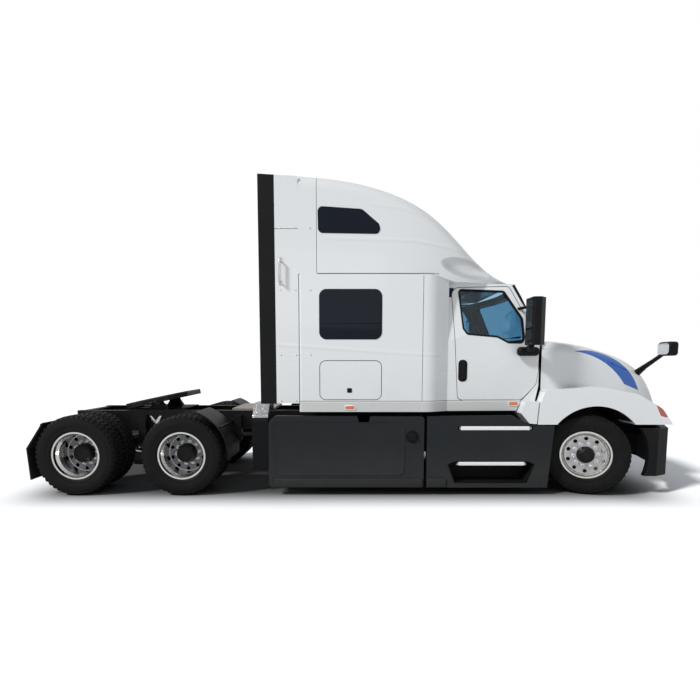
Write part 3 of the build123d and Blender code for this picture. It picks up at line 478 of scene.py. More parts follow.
def treadBox(name):
    # moulded box with a bright tread plate over its rounded top
    s = Shader(name)
    x, y, z = s.split()
    top = z.above(0.985)
    flat = s.node("ShaderNodeCombineXYZ", None, {0: x, 1: y + z})
    raised = 1 - s.cells(46.0, flat).ramp(0.10, 0.45)
    base = s.mix(raised * 0.45 + s.noise(20.0) * 0.2 + 0.35, metalLook["soot"], metalLook["chrome"])
    base = s.mix(top, plasticLook["black"], base)
    return s.done(
        Base_Color=base, Metallic=top, Roughness=0.42 - top * 0.22, Specular_IOR_Level=plasticLook["shine"],
        height=raised * top, depth=0.003,
    )


clothLook = {
    "grey": (0.105, 0.108, 0.115, 1),
    "light": (0.22, 0.22, 0.225, 1),
    "mattress": (0.30, 0.33, 0.38, 1),
    "mattressLight": (0.5, 0.52, 0.56, 1),
}


def wovenCloth(name, low, high, pitch=0.004):
    s = Shader(name)
    x, y, z = s.split()
    weave = abs((x + z).wave(pitch)) * abs((y + z).wave(pitch))
    worn = s.noise(5.0, 4.0)
    nap = weave + s.noise(60.0)
    base = s.mix(weave * 0.6 + worn * 0.3, low, high)
    return s.done(Base_Color=base, Roughness=worn * 0.1 + 0.82, Sheen_Weight=0.35, height=nap, depth=0.0009)


# lines pressed or cut into the panels, as seen from the side
panelLines = {
    "side": [("x", 0.767, (1.195, 2.707)), ("z", 1.192, (-0.738, 1.30)), ("z", 2.722, (-0.510, 1.00))],
    "roof": [("x", -0.517, (2.70, 3.90)), ("z", 2.727, (-0.510, 0.96))],
    "extender": [("z", 3.245, (-1.02, -0.53)), ("x", -0.525, (1.1, 3.9))],
    "sideCrease": [(-1.000, 1.880), (-0.748, 1.864), (0.624, 1.768), (1.000, 1.755)],
    "roofCreases": [
        [(0.121, 3.525), (0.500, 3.475), (0.873, 3.355), (1.250, 3.160)],
        [(-0.416, 3.137), (0.664, 3.107), (1.417, 2.979)],
    ],
    "scoop": ((1.300, 2.800), (0.330, 0.120), 0.18, 0.16),
}
sideCreases = [panelLines["sideCrease"]]
# body paint carries the painted shade on the sill band
bodyPaint = whitePaint("bodyPaint", panelLines["side"], creases=sideCreases, sillPaintedShade=0.55, lined=True)
roofPaint = whitePaint(
    "roofPaint", panelLines["roof"], creases=panelLines["roofCreases"], dish=panelLines["scoop"]
)
cornerPaint = whitePaint("cornerPaint", soiled=0.12)
bumperBlack = mouldedPlastic("bumperBlack", plasticLook["black"], 0.48, grainScale=700.0)
extenderPaint = whitePaint("extenderPaint", panelLines["extender"], creases=sideCreases)
hoodPaint = whitePaint("hoodPaint", stripe=hoodStripe, soiled=0.12)
charcoal = mouldedPlastic("charcoalPlastic", plasticLook["charcoal"], 0.42, dustTop=0.75)
blackPlastic = mouldedPlastic("blackPlastic", plasticLook["black"], 0.40)
sootBlack = mouldedPlastic("flapBlack", plasticLook["black"], 0.55, dustTop=1.0, grainScale=420.0)
dashPlastic = mouldedPlastic("dashPlastic", plasticLook["dash"], 0.55, grainScale=600.0)
chassis = chassisPaint("chassisPaint")
grease = greasedSteel("greasedSteel")
chequer = chequerPlate("chequerPlate")
stepPlate = stepMetal("stepPlate")
stepBright = brightMetal("stepBright", metalLook["step"], 0.45)
wellBlack = mouldedPlastic("wellBlack", plasticLook["black"], 0.6)
tyreBlack = tyreRubber("tyreRubber")
seal = rubberSeal("rubberSeal")
chrome = brightMetal("chrome")
satin = brightMetal("satinSteel", metalLook["plate"], 0.25)
casting = castIron("engineCasting")
core = finnedCore("radiatorCore")
sleeperGlass = darkGlass("sleeperGlass")
cabGlass = clearGlass("cabGlass", glassLook["cab"])
lens = clearGlass("lampLens", glassLook["lens"], 0.01)
lampCover = lampUnit("headlampUnit")
batteryBox = treadBox("treadBox")
amber = litLens("amberLens", glassLook["amber"], 0.04)
red = litLens("redLens", glassLook["red"], 0.05)
seatCloth = wovenCloth("seatCloth", clothLook["grey"], clothLook["light"])
mattressCloth = wovenCloth("mattressCloth", clothLook["mattress"], clothLook["mattressLight"], 0.006)
mirrorFace = brightMetal("mirrorFace", metalLook["mirror"], 0.02)

finishOf = {
    bodyPaint: ["sleeper_sides", "sleeper_back", "cab_shell", "door_left", "door_right", "luggage_door_left",
                "luggage_door_right"],
    cornerPaint: ["cab_corners"],
    roofPaint: ["roof_fairing"],
    extenderPaint: ["side_extenders"],
    hoodPaint: ["hood"],
    charcoal: ["skirts_rear", "skirts_front"],
    bumperBlack: ["bumper"],
    blackPlastic: ["extender_edges", "mirror_left", "mirror_right", "hood_mirrors", "grille"],
    sootBlack: ["mud_flaps", "fender_liners"],
    dashPlastic: ["dashboard", "steering_wheel", "cab_floor"],
    chassis: ["frame_rails", "crossmembers", "front_axle", "drive_axles", "drive_suspension", "driveline",
              "knuckle_left", "knuckle_right", "tie_rod", "fifth_wheel_base"],
    grease: ["fifth_wheel_plate"],
    chequer: ["deck_plate"],
    stepPlate: ["steps"],
    satin: ["fuel_tanks"],
    casting: ["engine"],
    core: ["radiator"],
    sleeperGlass: ["sleeper_windows"],
    cabGlass: ["door_glass_left", "door_glass_right", "windscreen"],
    lampCover: ["headlamps"],
    batteryBox: ["power_unit_box"],
    seatCloth: ["cab_interior"],
}


def dress(name, material):
    mesh = nodes[name].data
    mesh.materials.clear()
    mesh.materials.append(material)


for material, names in finishOf.items():
    for name in names:
        dress(name, material)
print("finishes on the panels")


# modelling helpers

weld = 1e-5
flips = {word: Matrix.Diagonal((1, side, 1, 1)) for word, side in sides.items()}


def newPiece(name, bm, material, body, smooth=35, matrix=None):
    # places a bmesh, welds and shades it, and puts it on its body
    if matrix is not None:
        bmesh.ops.transform(bm, matrix=matrix, verts=bm.verts)
    bmesh.ops.remove_doubles(bm, verts=bm.verts, dist=weld)
    bmesh.ops.recalc_face_normals(bm, faces=bm.faces)
    mesh = bpy.data.meshes.new(name)
    bm.to_mesh(mesh)
    bm.free()
    mesh.materials.append(material)
    mesh.shade_smooth()
    mesh.set_sharp_from_angle(angle=radians(smooth))
    piece = bpy.data.objects.new(name, mesh)
    bpy.context.scene.collection.objects.link(piece)
    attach(piece, body)
    return piece


def joinInto(bm, other):
    # other's faces go to bm, and other is used up
    spare = bpy.data.meshes.new("spare")
    other.to_mesh(spare)
    other.free()
    bm.from_mesh(spare)
    bpy.data.meshes.remove(spare)


def soften(bm, parts, width, segments=2, affect="EDGES"):
    bmesh.ops.bevel(
        bm, geom=parts, offset=width, offset_type="OFFSET", affect=affect, segments=segments, profile=0.5,
        material=-1, clamp_overlap=True,
    )


def addBlock(bm, low, high, soft=0.004, segments=2, matrix=Matrix.Identity(4)):
    low, high = Vector(low), Vector(high)
    shape = matrix @ Matrix.Translation((low + high) / 2) @ Matrix.Diagonal((*(high - low), 1))
    made = bmesh.ops.create_cube(bm, size=1, matrix=shape)["verts"]
    soften(bm, list({edge for vert in made for edge in vert.link_edges}), soft, segments)


def addRod(bm, start, end, radius, segments=20, endRadius=None, soft=0.0):
    start, end = Vector(start), Vector(end)
    along = end - start
    shape = Matrix.Translation((start + end) / 2) @ along.to_track_quat("Z", "Y").to_matrix().to_4x4()
    made = bmesh.ops.create_cone(
        bm, cap_ends=True, cap_tris=False, segments=segments, radius1=radius,
        radius2=radius if endRadius is None else endRadius, depth=along.length, matrix=shape,
    )["verts"]
    if soft:
        edges = {edge for vert in made for edge in vert.link_edges}
        soften(bm, [edge for edge in edges if any(len(face.verts) > 4 for face in edge.link_faces)], soft)


def addTurned(bm, profile, steps, matrix=Matrix.Identity(4)):
    # profile is radius and distance along Y, turned about Y
    verts = [bm.verts.new(matrix @ Vector((r, along, 0))) for r, along in profile]
    edges = [bm.edges.new(pair) for pair in zip(verts, verts[1:])]
    axis = matrix.to_3x3() @ Vector((0, 1, 0))
    bmesh.ops.spin(
        bm, geom=verts + edges, cent=matrix.to_translation(), axis=axis, angle=2 * pi, steps=steps,
        use_merge=True, use_duplicate=False,
    )


def ringPlaces(count, radius, start):
    # X and Z of points round a circle, the first at the angle start
    angles = [2 * pi * k / count + start for k in range(count)]
    return [(radius * cos(angle), radius * sin(angle)) for angle in angles]


def oblong(left, low, right, high):
    return [(left, low), (right, low), (right, high), (left, high)]


def oblongAt(x, z, wide, tall):
    return oblong(x - wide, z - tall, x + wide, z + tall)


def roundedOutline(corners, radius, steps=5):
    # corners in order, each turned into an arc
    points = []
    for k, corner in enumerate(corners):
        corner = Vector(corner)
        before = (Vector(corners[k - 1]) - corner).normalized()
        after = (Vector(corners[(k + 1) % len(corners)]) - corner).normalized()
        half = before.angle(after) / 2
        centre = corner + (before + after).normalized() * radius / sin(half)
        start = corner + before * radius / tan(half) - centre
        end = corner + after * radius / tan(half) - centre
        for step in range(steps + 1):
            points.append(centre + start.lerp(end, step / steps).normalized() * radius)
    return points


def flatFace(bm, outline, y):
    return bm.faces.new([bm.verts.new((px, y, pz)) for px, pz in outline])


def pull(bm, faces, shift):
    # extrudes faces along shift; gives back the moved vertices and faces
    made = bmesh.ops.extrude_face_region(bm, geom=faces)["geom"]
    verts = [part for part in made if isinstance(part, bmesh.types.BMVert)]
    bmesh.ops.translate(bm, vec=shift, verts=verts)
    return verts, [part for part in made if isinstance(part, bmesh.types.BMFace)]


def addPlate(bm, outline, y, thickness, soft=0.0):
    # a flat plate in X and Z at y, thickened along Y
    verts = pull(bm, [flatFace(bm, outline, y)], (0, thickness, 0))[0]
    if soft:
        rim = {edge for vert in verts for edge in vert.link_edges if all(v in verts for v in edge.verts)}
        soften(bm, list(rim), soft)


def addFrame(bm, outline, y, width, depth):
    # a flat ring that follows an outline in X and Z, raised along Y
    face = flatFace(bm, outline, y)
    bmesh.ops.inset_region(bm, faces=[face], thickness=width, use_boundary=True, use_even_offset=True)
    bmesh.ops.delete(bm, geom=[face], context="FACES_ONLY")
    pull(bm, bm.faces[:], (0, depth, 0))


def grown(outline, amount):
    # the outline moved outwards by amount, along its own normals
    count = len(outline)
    area = sum(a.x * b.y - b.x * a.y for a, b in zip(outline, outline[1:] + outline[:1]))
    moved = []
    for k, point in enumerate(outline):
        along = (outline[(k + 1) % count] - outline[k - 1]).normalized()
        moved.append(point + Vector((along.y, -along.x)) * (amount if area > 0 else -amount))
    return moved


def addLoops(bm, loops, closed=True):
    # rings of points with as many points each, joined into a skin; closed joins the last to the first
    rings = []
    for loop in loops:
        verts = [bm.verts.new(point) for point in loop]
        rings.append([bm.edges.new(pair) for pair in zip(verts, verts[1:] + verts[:1])])
    pairs = list(zip(rings, rings[1:] + rings[:1])) if closed else list(zip(rings, rings[1:]))
    for first, second in pairs:
        bmesh.ops.bridge_loops(bm, edges=first + second)
    return rings


trees = {}


def touch(node, start, direction):
    # the point where a line from start first meets a CAD node, and the surface's normal there
    if node not in trees:
        mesh = nodes[node].data
        trees[node] = BVHTree.FromPolygons([v.co for v in mesh.vertices], [p.vertices for p in mesh.polygons])
    return trees[node].ray_cast(Vector(start), Vector(direction))[:2]


def facing(at, normal, out="Y", up="Z"):
    # a place on a surface whose axis named out looks away from it
    return Matrix.Translation(at) @ normal.to_track_quat(out, up).to_matrix().to_4x4()


# wheels and tyres

tyreLook = {
    "radius": 0.507,
    "pitches": 96,
    "lugDepth": 0.009,
    "lugEdge": 0.004,
    "grooves": (-0.070, -0.024, 0.024, 0.070),
    "grooveWidth": 0.011,
    "grooveDepth": 0.013,
    "shoulder": (0.478, 0.085),  # shoulder lugs lie beyond this radius and distance from the middle
    "rib": (0.5055, 0.062),  # the middle's lugs lie beyond this radius and within this distance
    "wall": [  # one side wall up to the tread, as radius and distance along the axle
        (0.2870, 0.108), (0.2990, 0.109), (0.3080, 0.117), (0.3180, 0.1235), (0.3260, 0.1240),
        (0.3290, 0.1275), (0.3360, 0.1275), (0.3390, 0.1270), (0.3620, 0.1340), (0.3900, 0.1385),
        (0.4150, 0.1388), (0.4180, 0.1365), (0.4210, 0.1365), (0.4240, 0.1380), (0.4500, 0.1355),
        (0.4640, 0.1330), (0.4660, 0.1295), (0.4700, 0.1290), (0.4730, 0.1310), (0.4900, 0.1255),
        (0.5010, 0.1150), (0.5045, 0.1060),
    ],
}
nutLook = {"circle": 0.1429, "radius": 0.0195, "length": 0.034, "count": 10, "start": 0.12}
boltLook = {"radius": 0.0085, "count": 8, "start": 0.2}
# dish is how far the sunken face is darkened, partly brake dust and partly painted shade and reflection
wheelLook = {
    "front": {
        "tyres": (0.0,), "ribLugs": False, "discFace": 0.070, "dish": 0.30, "nutFoot": 0.0985,
        "nutMetal": chrome, "bolts": (0.056, 0.1575),
        "hub": [(0.0, 0.1615), (0.046, 0.1610), (0.050, 0.1575), (0.063, 0.1575), (0.0655, 0.1555),
                (0.0905, 0.1465), (0.1005, 0.1020), (0.1060, 0.0980)],
    },
    "drive": {
        "tyres": (0.0, -0.335), "ribLugs": True, "discFace": -0.150, "dish": 0.88, "nutFoot": -0.1335,
        "nutMetal": satin, "bolts": (0.080, -0.0175),
        "hub": [(0.0, -0.0135), (0.060, -0.0140), (0.066, -0.0170), (0.0945, -0.0175), (0.0965, -0.0195),
                (0.1105, -0.0330), (0.1205, -0.1240), (0.1290, -0.1265)],
    },
}
axleLook = {
    "height": 0.507, "steer": -20,  # degrees at rest
    "kingpin": (2.944, 0.880), "frontOut": 0.161,
    "middle": -2.2155, "rear": -3.5365, "driveOut": 1.082,
}
axleHeight = axleLook["height"]
wheelPlaces = {}
for word, side in sides.items():
    steerTurn = radians(axleLook["steer"])
    kingpinX, kingpinY = axleLook["kingpin"]
    steered = Matrix.Translation((kingpinX, side * kingpinY, axleHeight)) @ Matrix.Rotation(steerTurn, 4, "Z")
    outwards = Matrix.Translation((0, side * axleLook["frontOut"], 0))
    wheelPlaces["wheel_front_" + word] = (steered @ outwards, steerTurn, side)
    for axle in ("middle", "rear"):
        place = Matrix.Translation((axleLook[axle], side * axleLook["driveOut"], axleHeight))
        wheelPlaces["wheels_" + axle + "_" + word] = (place, 0.0, side)


def addTyre(bm, matrix, ribLugs):
    crown, wide, deep = tyreLook["radius"], tyreLook["grooveWidth"] / 2, tyreLook["grooveDepth"]
    tread = []
    for middle in tyreLook["grooves"]:
        tread += [
            (crown, middle - wide), (crown - deep, middle - wide * 0.7), (crown - deep, middle + wide * 0.7),
            (crown, middle + wide),
        ]
    wall = tyreLook["wall"]
    single = bmesh.new()
    addTurned(single, [(r, -y) for r, y in wall] + tread + wall[::-1], tyreLook["pitches"])
    bmesh.ops.remove_doubles(single, verts=single.verts, dist=weld)
    bmesh.ops.recalc_face_normals(single, faces=single.faces)
    pitch = 2 * pi / tyreLook["pitches"]
    chosen = []
    for face in single.faces:
        middle = face.calc_center_median()
        radius, across = sqrt(middle.x ** 2 + middle.z ** 2), abs(middle.y)
        odd = int((atan2(middle.z, middle.x) + pi) / pitch) % 2
        shoulder = radius > tyreLook["shoulder"][0] and across > tyreLook["shoulder"][1]
        rib = ribLugs and radius > tyreLook["rib"][0] and across < tyreLook["rib"][1]
        if (shoulder and odd) or (rib and not odd):
            chosen.append(face)
    bmesh.ops.inset_region(
        single, faces=chosen, thickness=tyreLook["lugEdge"], depth=-tyreLook["lugDepth"], use_even_offset=True,
        use_boundary=True,
    )
    bmesh.ops.transform(single, matrix=matrix, verts=single.verts)
    joinInto(bm, single)


def addNut(bm, x, foot, z):
    # a flanged foot, six flats and a domed end
    wide, end = nutLook["radius"], foot + nutLook["length"]
    addRod(bm, (x, foot - 0.004, z), (x, foot + 0.005, z), wide * 1.28, 16, wide * 1.18)
    addRod(bm, (x, foot + 0.004, z), (x, end, z), wide, 6, wide * 0.94, soft=0.0015)
    addRod(bm, (x, end - 0.002, z), (x, end + 0.010, z), wide * 0.72, 12, wide * 0.34, soft=0.002)


for body, (matrix, turn, side) in wheelPlaces.items():
    look = wheelLook["front" if "front" in body else "drive"]
    mirror = matrix @ Matrix.Diagonal((1, side, 1, 1))
    tyreNode = body.replace("wheel_", "tyre_").replace("wheels_", "tyres_")
    bm = bmesh.new()
    for offset in look["tyres"]:
        addTyre(bm, mirror @ Matrix.Translation((0, offset, 0)), look["ribLugs"])
    tyre = newPiece("rubber_" + tyreNode, bm, tyreBlack, body, 32)
    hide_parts(tyreNode)
    metal = wheelMetal("metal_" + body, matrix.to_translation(), turn, side, look["discFace"], look["dish"])
    dress(body, metal)
    bm = bmesh.new()
    for x, z in ringPlaces(nutLook["count"], nutLook["circle"], nutLook["start"]):
        addNut(bm, x, look["nutFoot"], z)
    newPiece("nuts_" + body, bm, look["nutMetal"], body, 30, mirror)
    # hub with its ring of small bolts
    bm = bmesh.new()
    addTurned(bm, look["hub"], 48)
    bmesh.ops.remove_doubles(bm, verts=bm.verts, dist=weld)
    circle, foot = look["bolts"]
    for x, z in ringPlaces(boltLook["count"], circle, boltLook["start"]):
        addRod(bm, (x, foot - 0.003, z), (x, foot + 0.008, z), boltLook["radius"], 6, soft=0.001)
    newPiece("hub_" + body, bm, chassis, body, 30, mirror)
print("wheels and tyres made")


# cab and sleeper trim

windowLook = {
    "upper": ([(-0.503, 3.504), (-0.498, 3.195), (0.261, 3.183), (0.225, 3.300), (0.023, 3.469)], 0.055),
    "lower": (oblong(-0.490, 1.943, 0.270, 2.543), 0.085),
    "sealWidth": 0.020, "sealFoot": 1.211, "sealDepth": 0.008,
    "sash": ((-0.472, 1.204, 2.128), (0.252, 1.214, 2.142)),  # rail of the sliding pane
}
lidLook = {
    "outline": oblong(-0.482, 1.214, 0.264, 1.683), "round": 0.070, "y": 1.2105, "width": 0.007,
    "depth": 0.0035,
    "latches": (  # outline, its round, y, thickness and soft edge
        (oblongAt(-0.123, 1.324, 0.030, 0.028), 0.012, 1.210, 0.010, 0.002),
        (oblongAt(-0.123, 1.324, 0.012, 0.018), 0.006, 1.218, 0.006, 0.0015),
    ),
}
screwLook = {"x": (-0.955, -0.771, -0.593), "z": (3.252, 2.531, 1.756, 1.195), "y": (1.213, 1.2195)}
for word, flip in flips.items():
    for window in ("upper", "lower"):
        corners, radius = windowLook[window]
        bm = bmesh.new()
        outline = roundedOutline(corners, radius)
        addFrame(bm, outline, windowLook["sealFoot"], windowLook["sealWidth"], windowLook["sealDepth"])
        newPiece("seal_" + window + "_" + word, bm, seal, "root", 40, flip)
    bm = bmesh.new()
    addBlock(bm, *windowLook["sash"], 0.003)
    newPiece("sash_" + word, bm, seal, "root", matrix=flip)
    bm = bmesh.new()
    outline = roundedOutline(lidLook["outline"], lidLook["round"])
    addFrame(bm, outline, lidLook["y"], lidLook["width"], lidLook["depth"])
    newPiece("lid_seal_" + word, bm, seal, "luggage_door_" + word, matrix=flip)
    bm = bmesh.new()
    for corners, radius, y, thickness, soft in lidLook["latches"]:
        addPlate(bm, roundedOutline(corners, radius), y, thickness, soft)
    newPiece("lid_latches_" + word, bm, blackPlastic, "luggage_door_" + word, matrix=flip)
    bm = bmesh.new()
    inner, outer = screwLook["y"]
    for x in screwLook["x"]:
        for z in screwLook["z"]:
            addRod(bm, (x, inner, z), (x, outer, z), 0.0125, 14, 0.009, soft=0.0015)
    newPiece("extender_screws_" + word, bm, satin, "root", matrix=flip)
print("sleeper trim made")

# handles and mirror glass of the cab doors
doorLook = {
    "probe": (1.290, 1.4, 1.565),  # looks at the skin under the handle
    "plates": (  # piece, outline, its round, place out from the skin, thickness and soft edge
        ("handle_cup_", oblong(1.232, 1.425, 1.348, 1.700), 0.050, -0.012, 0.015, 0.004),
        ("handle_", oblong(1.262, 1.452, 1.318, 1.674), 0.026, 0.0, 0.020, 0.007),
    ),
    "glassAt": (1.9835, 1.365), "glassWidth": 0.195,
    "glasses": ((2.075, 2.385), (1.905, 2.045)),  # a flat one above a wide-angle one
}
for word, side in sides.items():
    door = "door_" + word
    x, y, z = doorLook["probe"]
    at = touch(door, (x, side * y, z), (0, -side, 0))[0]
    for name, corners, radius, out, thickness, soft in doorLook["plates"]:
        bm = bmesh.new()
        addPlate(bm, roundedOutline(corners, radius), at.y + side * out, side * thickness, soft)
        newPiece(name + word, bm, blackPlastic, door)
    bm = bmesh.new()
    x, y = doorLook["glassAt"]
    for low, high in doorLook["glasses"]:
        place = Matrix.Translation((x, side * y, (low + high) / 2)) @ Matrix.Rotation(pi / 2, 4, "Y")
        size = Matrix.Diagonal((high - low, doorLook["glassWidth"], 1, 1))
        bmesh.ops.create_grid(bm, x_segments=8, y_segments=8, size=0.5, matrix=place @ size)
    newPiece("mirror_glass_" + word, bm, mirrorFace, door)
print("doors made")

# window seals that follow the leaning doors and the curved windscreen
gasketLook = {
    "door": {
        "outline": [(1.235, 2.573), (1.803, 2.550), (2.027, 2.210), (2.061, 1.976), (2.046, 1.910),
                    (1.864, 1.910), (1.720, 1.983), (1.339, 2.015), (1.290, 2.085)],
        "rows": (  # outwards from the glass edge, on the panel or the glass, and raised from it
            (0.010, "panel", -0.003), (0.007, "panel", 0.004), (-0.004, "glass", 0.020),
            (-0.014, "glass", 0.016), (-0.017, "glass", -0.002),
        ),
    },
    "screen": {
        "outline": [(-0.940, 1.975), (0.940, 1.975), (0.860, 2.585), (-0.860, 2.585)],
        "rows": (
            (0.012, "panel", -0.003), (0.008, "panel", 0.004), (-0.008, "glass", 0.012),
            (-0.030, "glass", 0.004), (-0.034, "glass", -0.002),
        ),
    },
}


def addGasket(bm, outline, rows, toWorld, direction, panel, glass):
    loops = []
    for amount, on, lift in rows:
        first, second = (panel, glass) if on == "panel" else (glass, panel)
        loop = []
        for point in grown(outline, amount):
            at = touch(first, toWorld(point), direction)[0]
            if at is None:
                at = touch(second, toWorld(point), direction)[0]
            if at is None:
                at = loop[-1] if loop else toWorld(point)
                lift = 0.0
            loop.append(at - Vector(direction) * lift)
        loops.append(loop)
    addLoops(bm, loops)


for word, side in sides.items():
    bm = bmesh.new()
    addGasket(bm, roundedOutline(gasketLook["door"]["outline"], 0.040), gasketLook["door"]["rows"],
              lambda p: Vector((p.x, side * 1.5, p.y)), (0, -side, 0), "door_" + word, "door_glass_" + word)
    newPiece("window_seal_" + word, bm, seal, "door_" + word, 40)
screenOutline = roundedOutline(gasketLook["screen"]["outline"], 0.085, 8)
fine = []
for first, second in zip(screenOutline, screenOutline[1:] + screenOutline[:1]):
    parts = max(1, int((second - first).length / 0.06))
    fine += [first.lerp(second, k / parts) for k in range(parts)]
bm = bmesh.new()
addGasket(bm, fine, gasketLook["screen"]["rows"], lambda p: Vector((3.2, p.x, p.y)), (-1, 0, 0), "cab_shell",
          "windscreen")
newPiece("windscreen_seal", bm, seal, "root", 40)

# black strips down the cab's front corners, beside the windscreen
cornerLook = {
    "rows": (2.625, 2.575, 2.475, 2.375, 2.275, 2.175, 2.095),
    "top": (2.845, 1.895, 2.616),  # where the probe starts, off the corner's upper end
    "slope": 0.54, "lean": 0.15, "radius": 0.021, "sunk": 0.012, "longest": 0.2,
}
for word, side in sides.items():
    path = []
    x, y, top = cornerLook["top"]
    for z in cornerLook["rows"]:
        start = (x - (z - top) * cornerLook["slope"], side * (y + (top - z) * cornerLook["lean"]), z)
        at = touch("cab_shell", start, (-1, -side, 0))[0]
        if at is not None and (not path or (at - path[-1]).length < cornerLook["longest"]):
            path.append(at - Vector((1, side, 0)) * cornerLook["sunk"])
    bm = bmesh.new()
    for first, second in zip(path, path[1:]):
        addRod(bm, first, second, cornerLook["radius"], 16)
        ball = Matrix.Translation(second)
        bmesh.ops.create_icosphere(bm, subdivisions=2, radius=cornerLook["radius"], matrix=ball)
    newPiece("screen_edge_" + word, bm, seal, "root", 50)

# wipers lie along the foot of the windscreen
wiperLook = {
    "pivots": (-0.62, 0.10), "reach": 0.56, "low": 2.035, "rise": 0.012, "lift": 0.016, "blade": 0.0055,
    "steps": 8, "arm": 0.009, "armTaper": 0.001, "armSteps": 4, "armOff": (0.012, 0, 0.012),
}
bm = bmesh.new()
for pivot in wiperLook["pivots"]:
    path = []
    for k in range(wiperLook["steps"] + 1):
        along = k / wiperLook["steps"]
        start = (3.2, pivot + wiperLook["reach"] * along, wiperLook["low"] + wiperLook["rise"] * along)
        at, normal = touch("windscreen", start, (-1, 0, 0))
        if at is not None:
            path.append(at + normal * wiperLook["lift"])
    for first, second in zip(path, path[1:]):
        addRod(bm, first, second, wiperLook["blade"], 8)
    off = Vector(wiperLook["armOff"])
    arm = path[:wiperLook["armSteps"] + 1]
    for k, (first, second) in enumerate(zip(arm, arm[1:])):
        addRod(bm, first + off, second + off, wiperLook["arm"] - wiperLook["armTaper"] * k, 10)
newPiece("wipers", bm, blackPlastic, "root", 50)
print("window seals and wipers made")

# wide mirror on each hood arm: a bright face in a dark shell, looking back
hoodMirrorLook = {
    "arm": (  # centre, long and short half width
        ((3.628, 0.765, 1.495), 0.062, 0.034), ((3.640, 0.830, 1.545), 0.054, 0.030),
        ((3.652, 0.940, 1.612), 0.037, 0.024), ((3.668, 1.090, 1.692), 0.029, 0.020),
        ((3.690, 1.230, 1.775), 0.027, 0.018),
    ),
    "sides": 20, "flat": 0.6,
    "low": (3.634, 1.178, 1.744), "high": (3.756, 1.396, 1.912), "round": 0.034,
    "glassAt": (3.632, 1.287, 1.828), "glassSize": (0.134, 0.186), "glassRound": 0.032, "glassThick": 0.006,
}


def makeHoodMirror(word, flip):
    bm = bmesh.new()
    loops = []
    for centre, long, short in hoodMirrorLook["arm"]:
        ring = ringPlaces(hoodMirrorLook["sides"], 1.0, 0.0)
        flat = short * hoodMirrorLook["flat"]
        loops.append([Vector(centre) + Vector((long * c, flat * s, -short * s)) for c, s in ring])
    rings = addLoops(bm, loops, closed=False)
    for ring in (rings[0], rings[-1]):
        bmesh.ops.contextual_create(bm, geom=ring)
    addBlock(bm, hoodMirrorLook["low"], hoodMirrorLook["high"], hoodMirrorLook["round"], 5)
    shell = newPiece("hood_mirror_shell_" + word, bm, blackPlastic, "hood", 50, flip)
    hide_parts("hood_mirrors")
    bm = bmesh.new()
    place = Matrix.Translation(hoodMirrorLook["glassAt"]) @ Matrix.Rotation(-pi / 2, 4, "Y")
    size = Matrix.Diagonal((*hoodMirrorLook["glassSize"], 1, 1))
    bmesh.ops.create_grid(bm, x_segments=1, y_segments=1, size=0.5, matrix=place @ size)
    soften(bm, bm.verts[:], hoodMirrorLook["glassRound"], 5, "VERTICES")
    pull(bm, bm.faces[:], (hoodMirrorLook["glassThick"], 0, 0))
    glass = newPiece("hood_mirror_glass_" + word, bm, mirrorFace, "hood", matrix=flip)
    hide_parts("hood_mirrors")


# foot of each door mirror
footLook = {"low": (1.955, 1.060, 1.746), "high": (2.222, 1.158, 1.858), "round": 0.042}


def makeMirrorFoot(word, flip):
    bm = bmesh.new()
    addBlock(bm, footLook["low"], footLook["high"], footLook["round"], 5)
    newPiece("mirror_foot_" + word, bm, blackPlastic, "door_" + word, 50, flip)


# dark hollow round the lower step
wellLook = {
    "outline": ((1.108, 0.399), (1.192, 0.436), (2.098, 0.436), (2.184, 0.399), (2.095, 0.166), (1.195, 0.166)),
    "wall": 0.006, "out": 1.196, "in": 0.925, "back": 0.008,
}


def makeStepWell(word, flip):
    outer = [Vector(point) for point in wellLook["outline"]]
    inner = grown(outer, -wellLook["wall"])
    near, far = wellLook["out"], wellLook["in"]
    bm = bmesh.new()
    addLoops(bm, [[(p.x, y, p.y) for p in outline] for outline, y in
                  ((outer, near), (outer, far), (inner, far), (inner, near))])
    addPlate(bm, inner, far, wellLook["back"])
    newPiece("step_well_" + word, bm, wellBlack, "root", 30, flip)


# quarter fender over the front of the middle wheels, on a stay from the rail
quarterLook = {
    "radius": (0.577, 0.588), "across": (0.612, 1.213), "start": 5, "sweep": -76,  # degrees
    "stay": ((-1.745, 0.425, 0.852), (-1.745, 1.150, 0.852), 0.017),
    "pad": ((-1.775, 0.430, 0.815), (-1.715, 0.442, 0.890)),
}


def makeQuarterFender(word, flip):
    bm = bmesh.new()
    axle = Vector((axleLook["middle"], 0, axleHeight))
    (near, far), (inner, outer) = quarterLook["radius"], quarterLook["across"]
    face = bm.faces.new([bm.verts.new((axle.x + r, y, axle.z)) for r, y in oblong(near, inner, far, outer)])
    turn = Matrix.Rotation(radians(quarterLook["start"]), 3, "Y")
    bmesh.ops.rotate(bm, cent=axle, matrix=turn, verts=bm.verts)
    bmesh.ops.spin(
        bm, geom=bm.verts[:] + bm.edges[:] + [face], cent=axle, axis=(0, 1, 0),
        angle=radians(quarterLook["sweep"]), steps=26, use_merge=False, use_duplicate=False,
    )
    addRod(bm, *quarterLook["stay"], 16)
    addBlock(bm, *quarterLook["pad"], 0.003)
    newPiece("quarter_fender_" + word, bm, blackPlastic, "root", 40, flip)


# tail lamps in rubber cups behind the last cross member
tailLook = {
    "across": (0.130, 0.300), "z": 0.868, "depth": (-0.012, 0.010), "round": 0.010,
    "parts": (
        ("cup", -3.932, 0.084, 0.036, seal, "black_plastic"),
        ("lens", -3.944, 0.072, 0.026, red, "lamp_lens"),
    ),
}


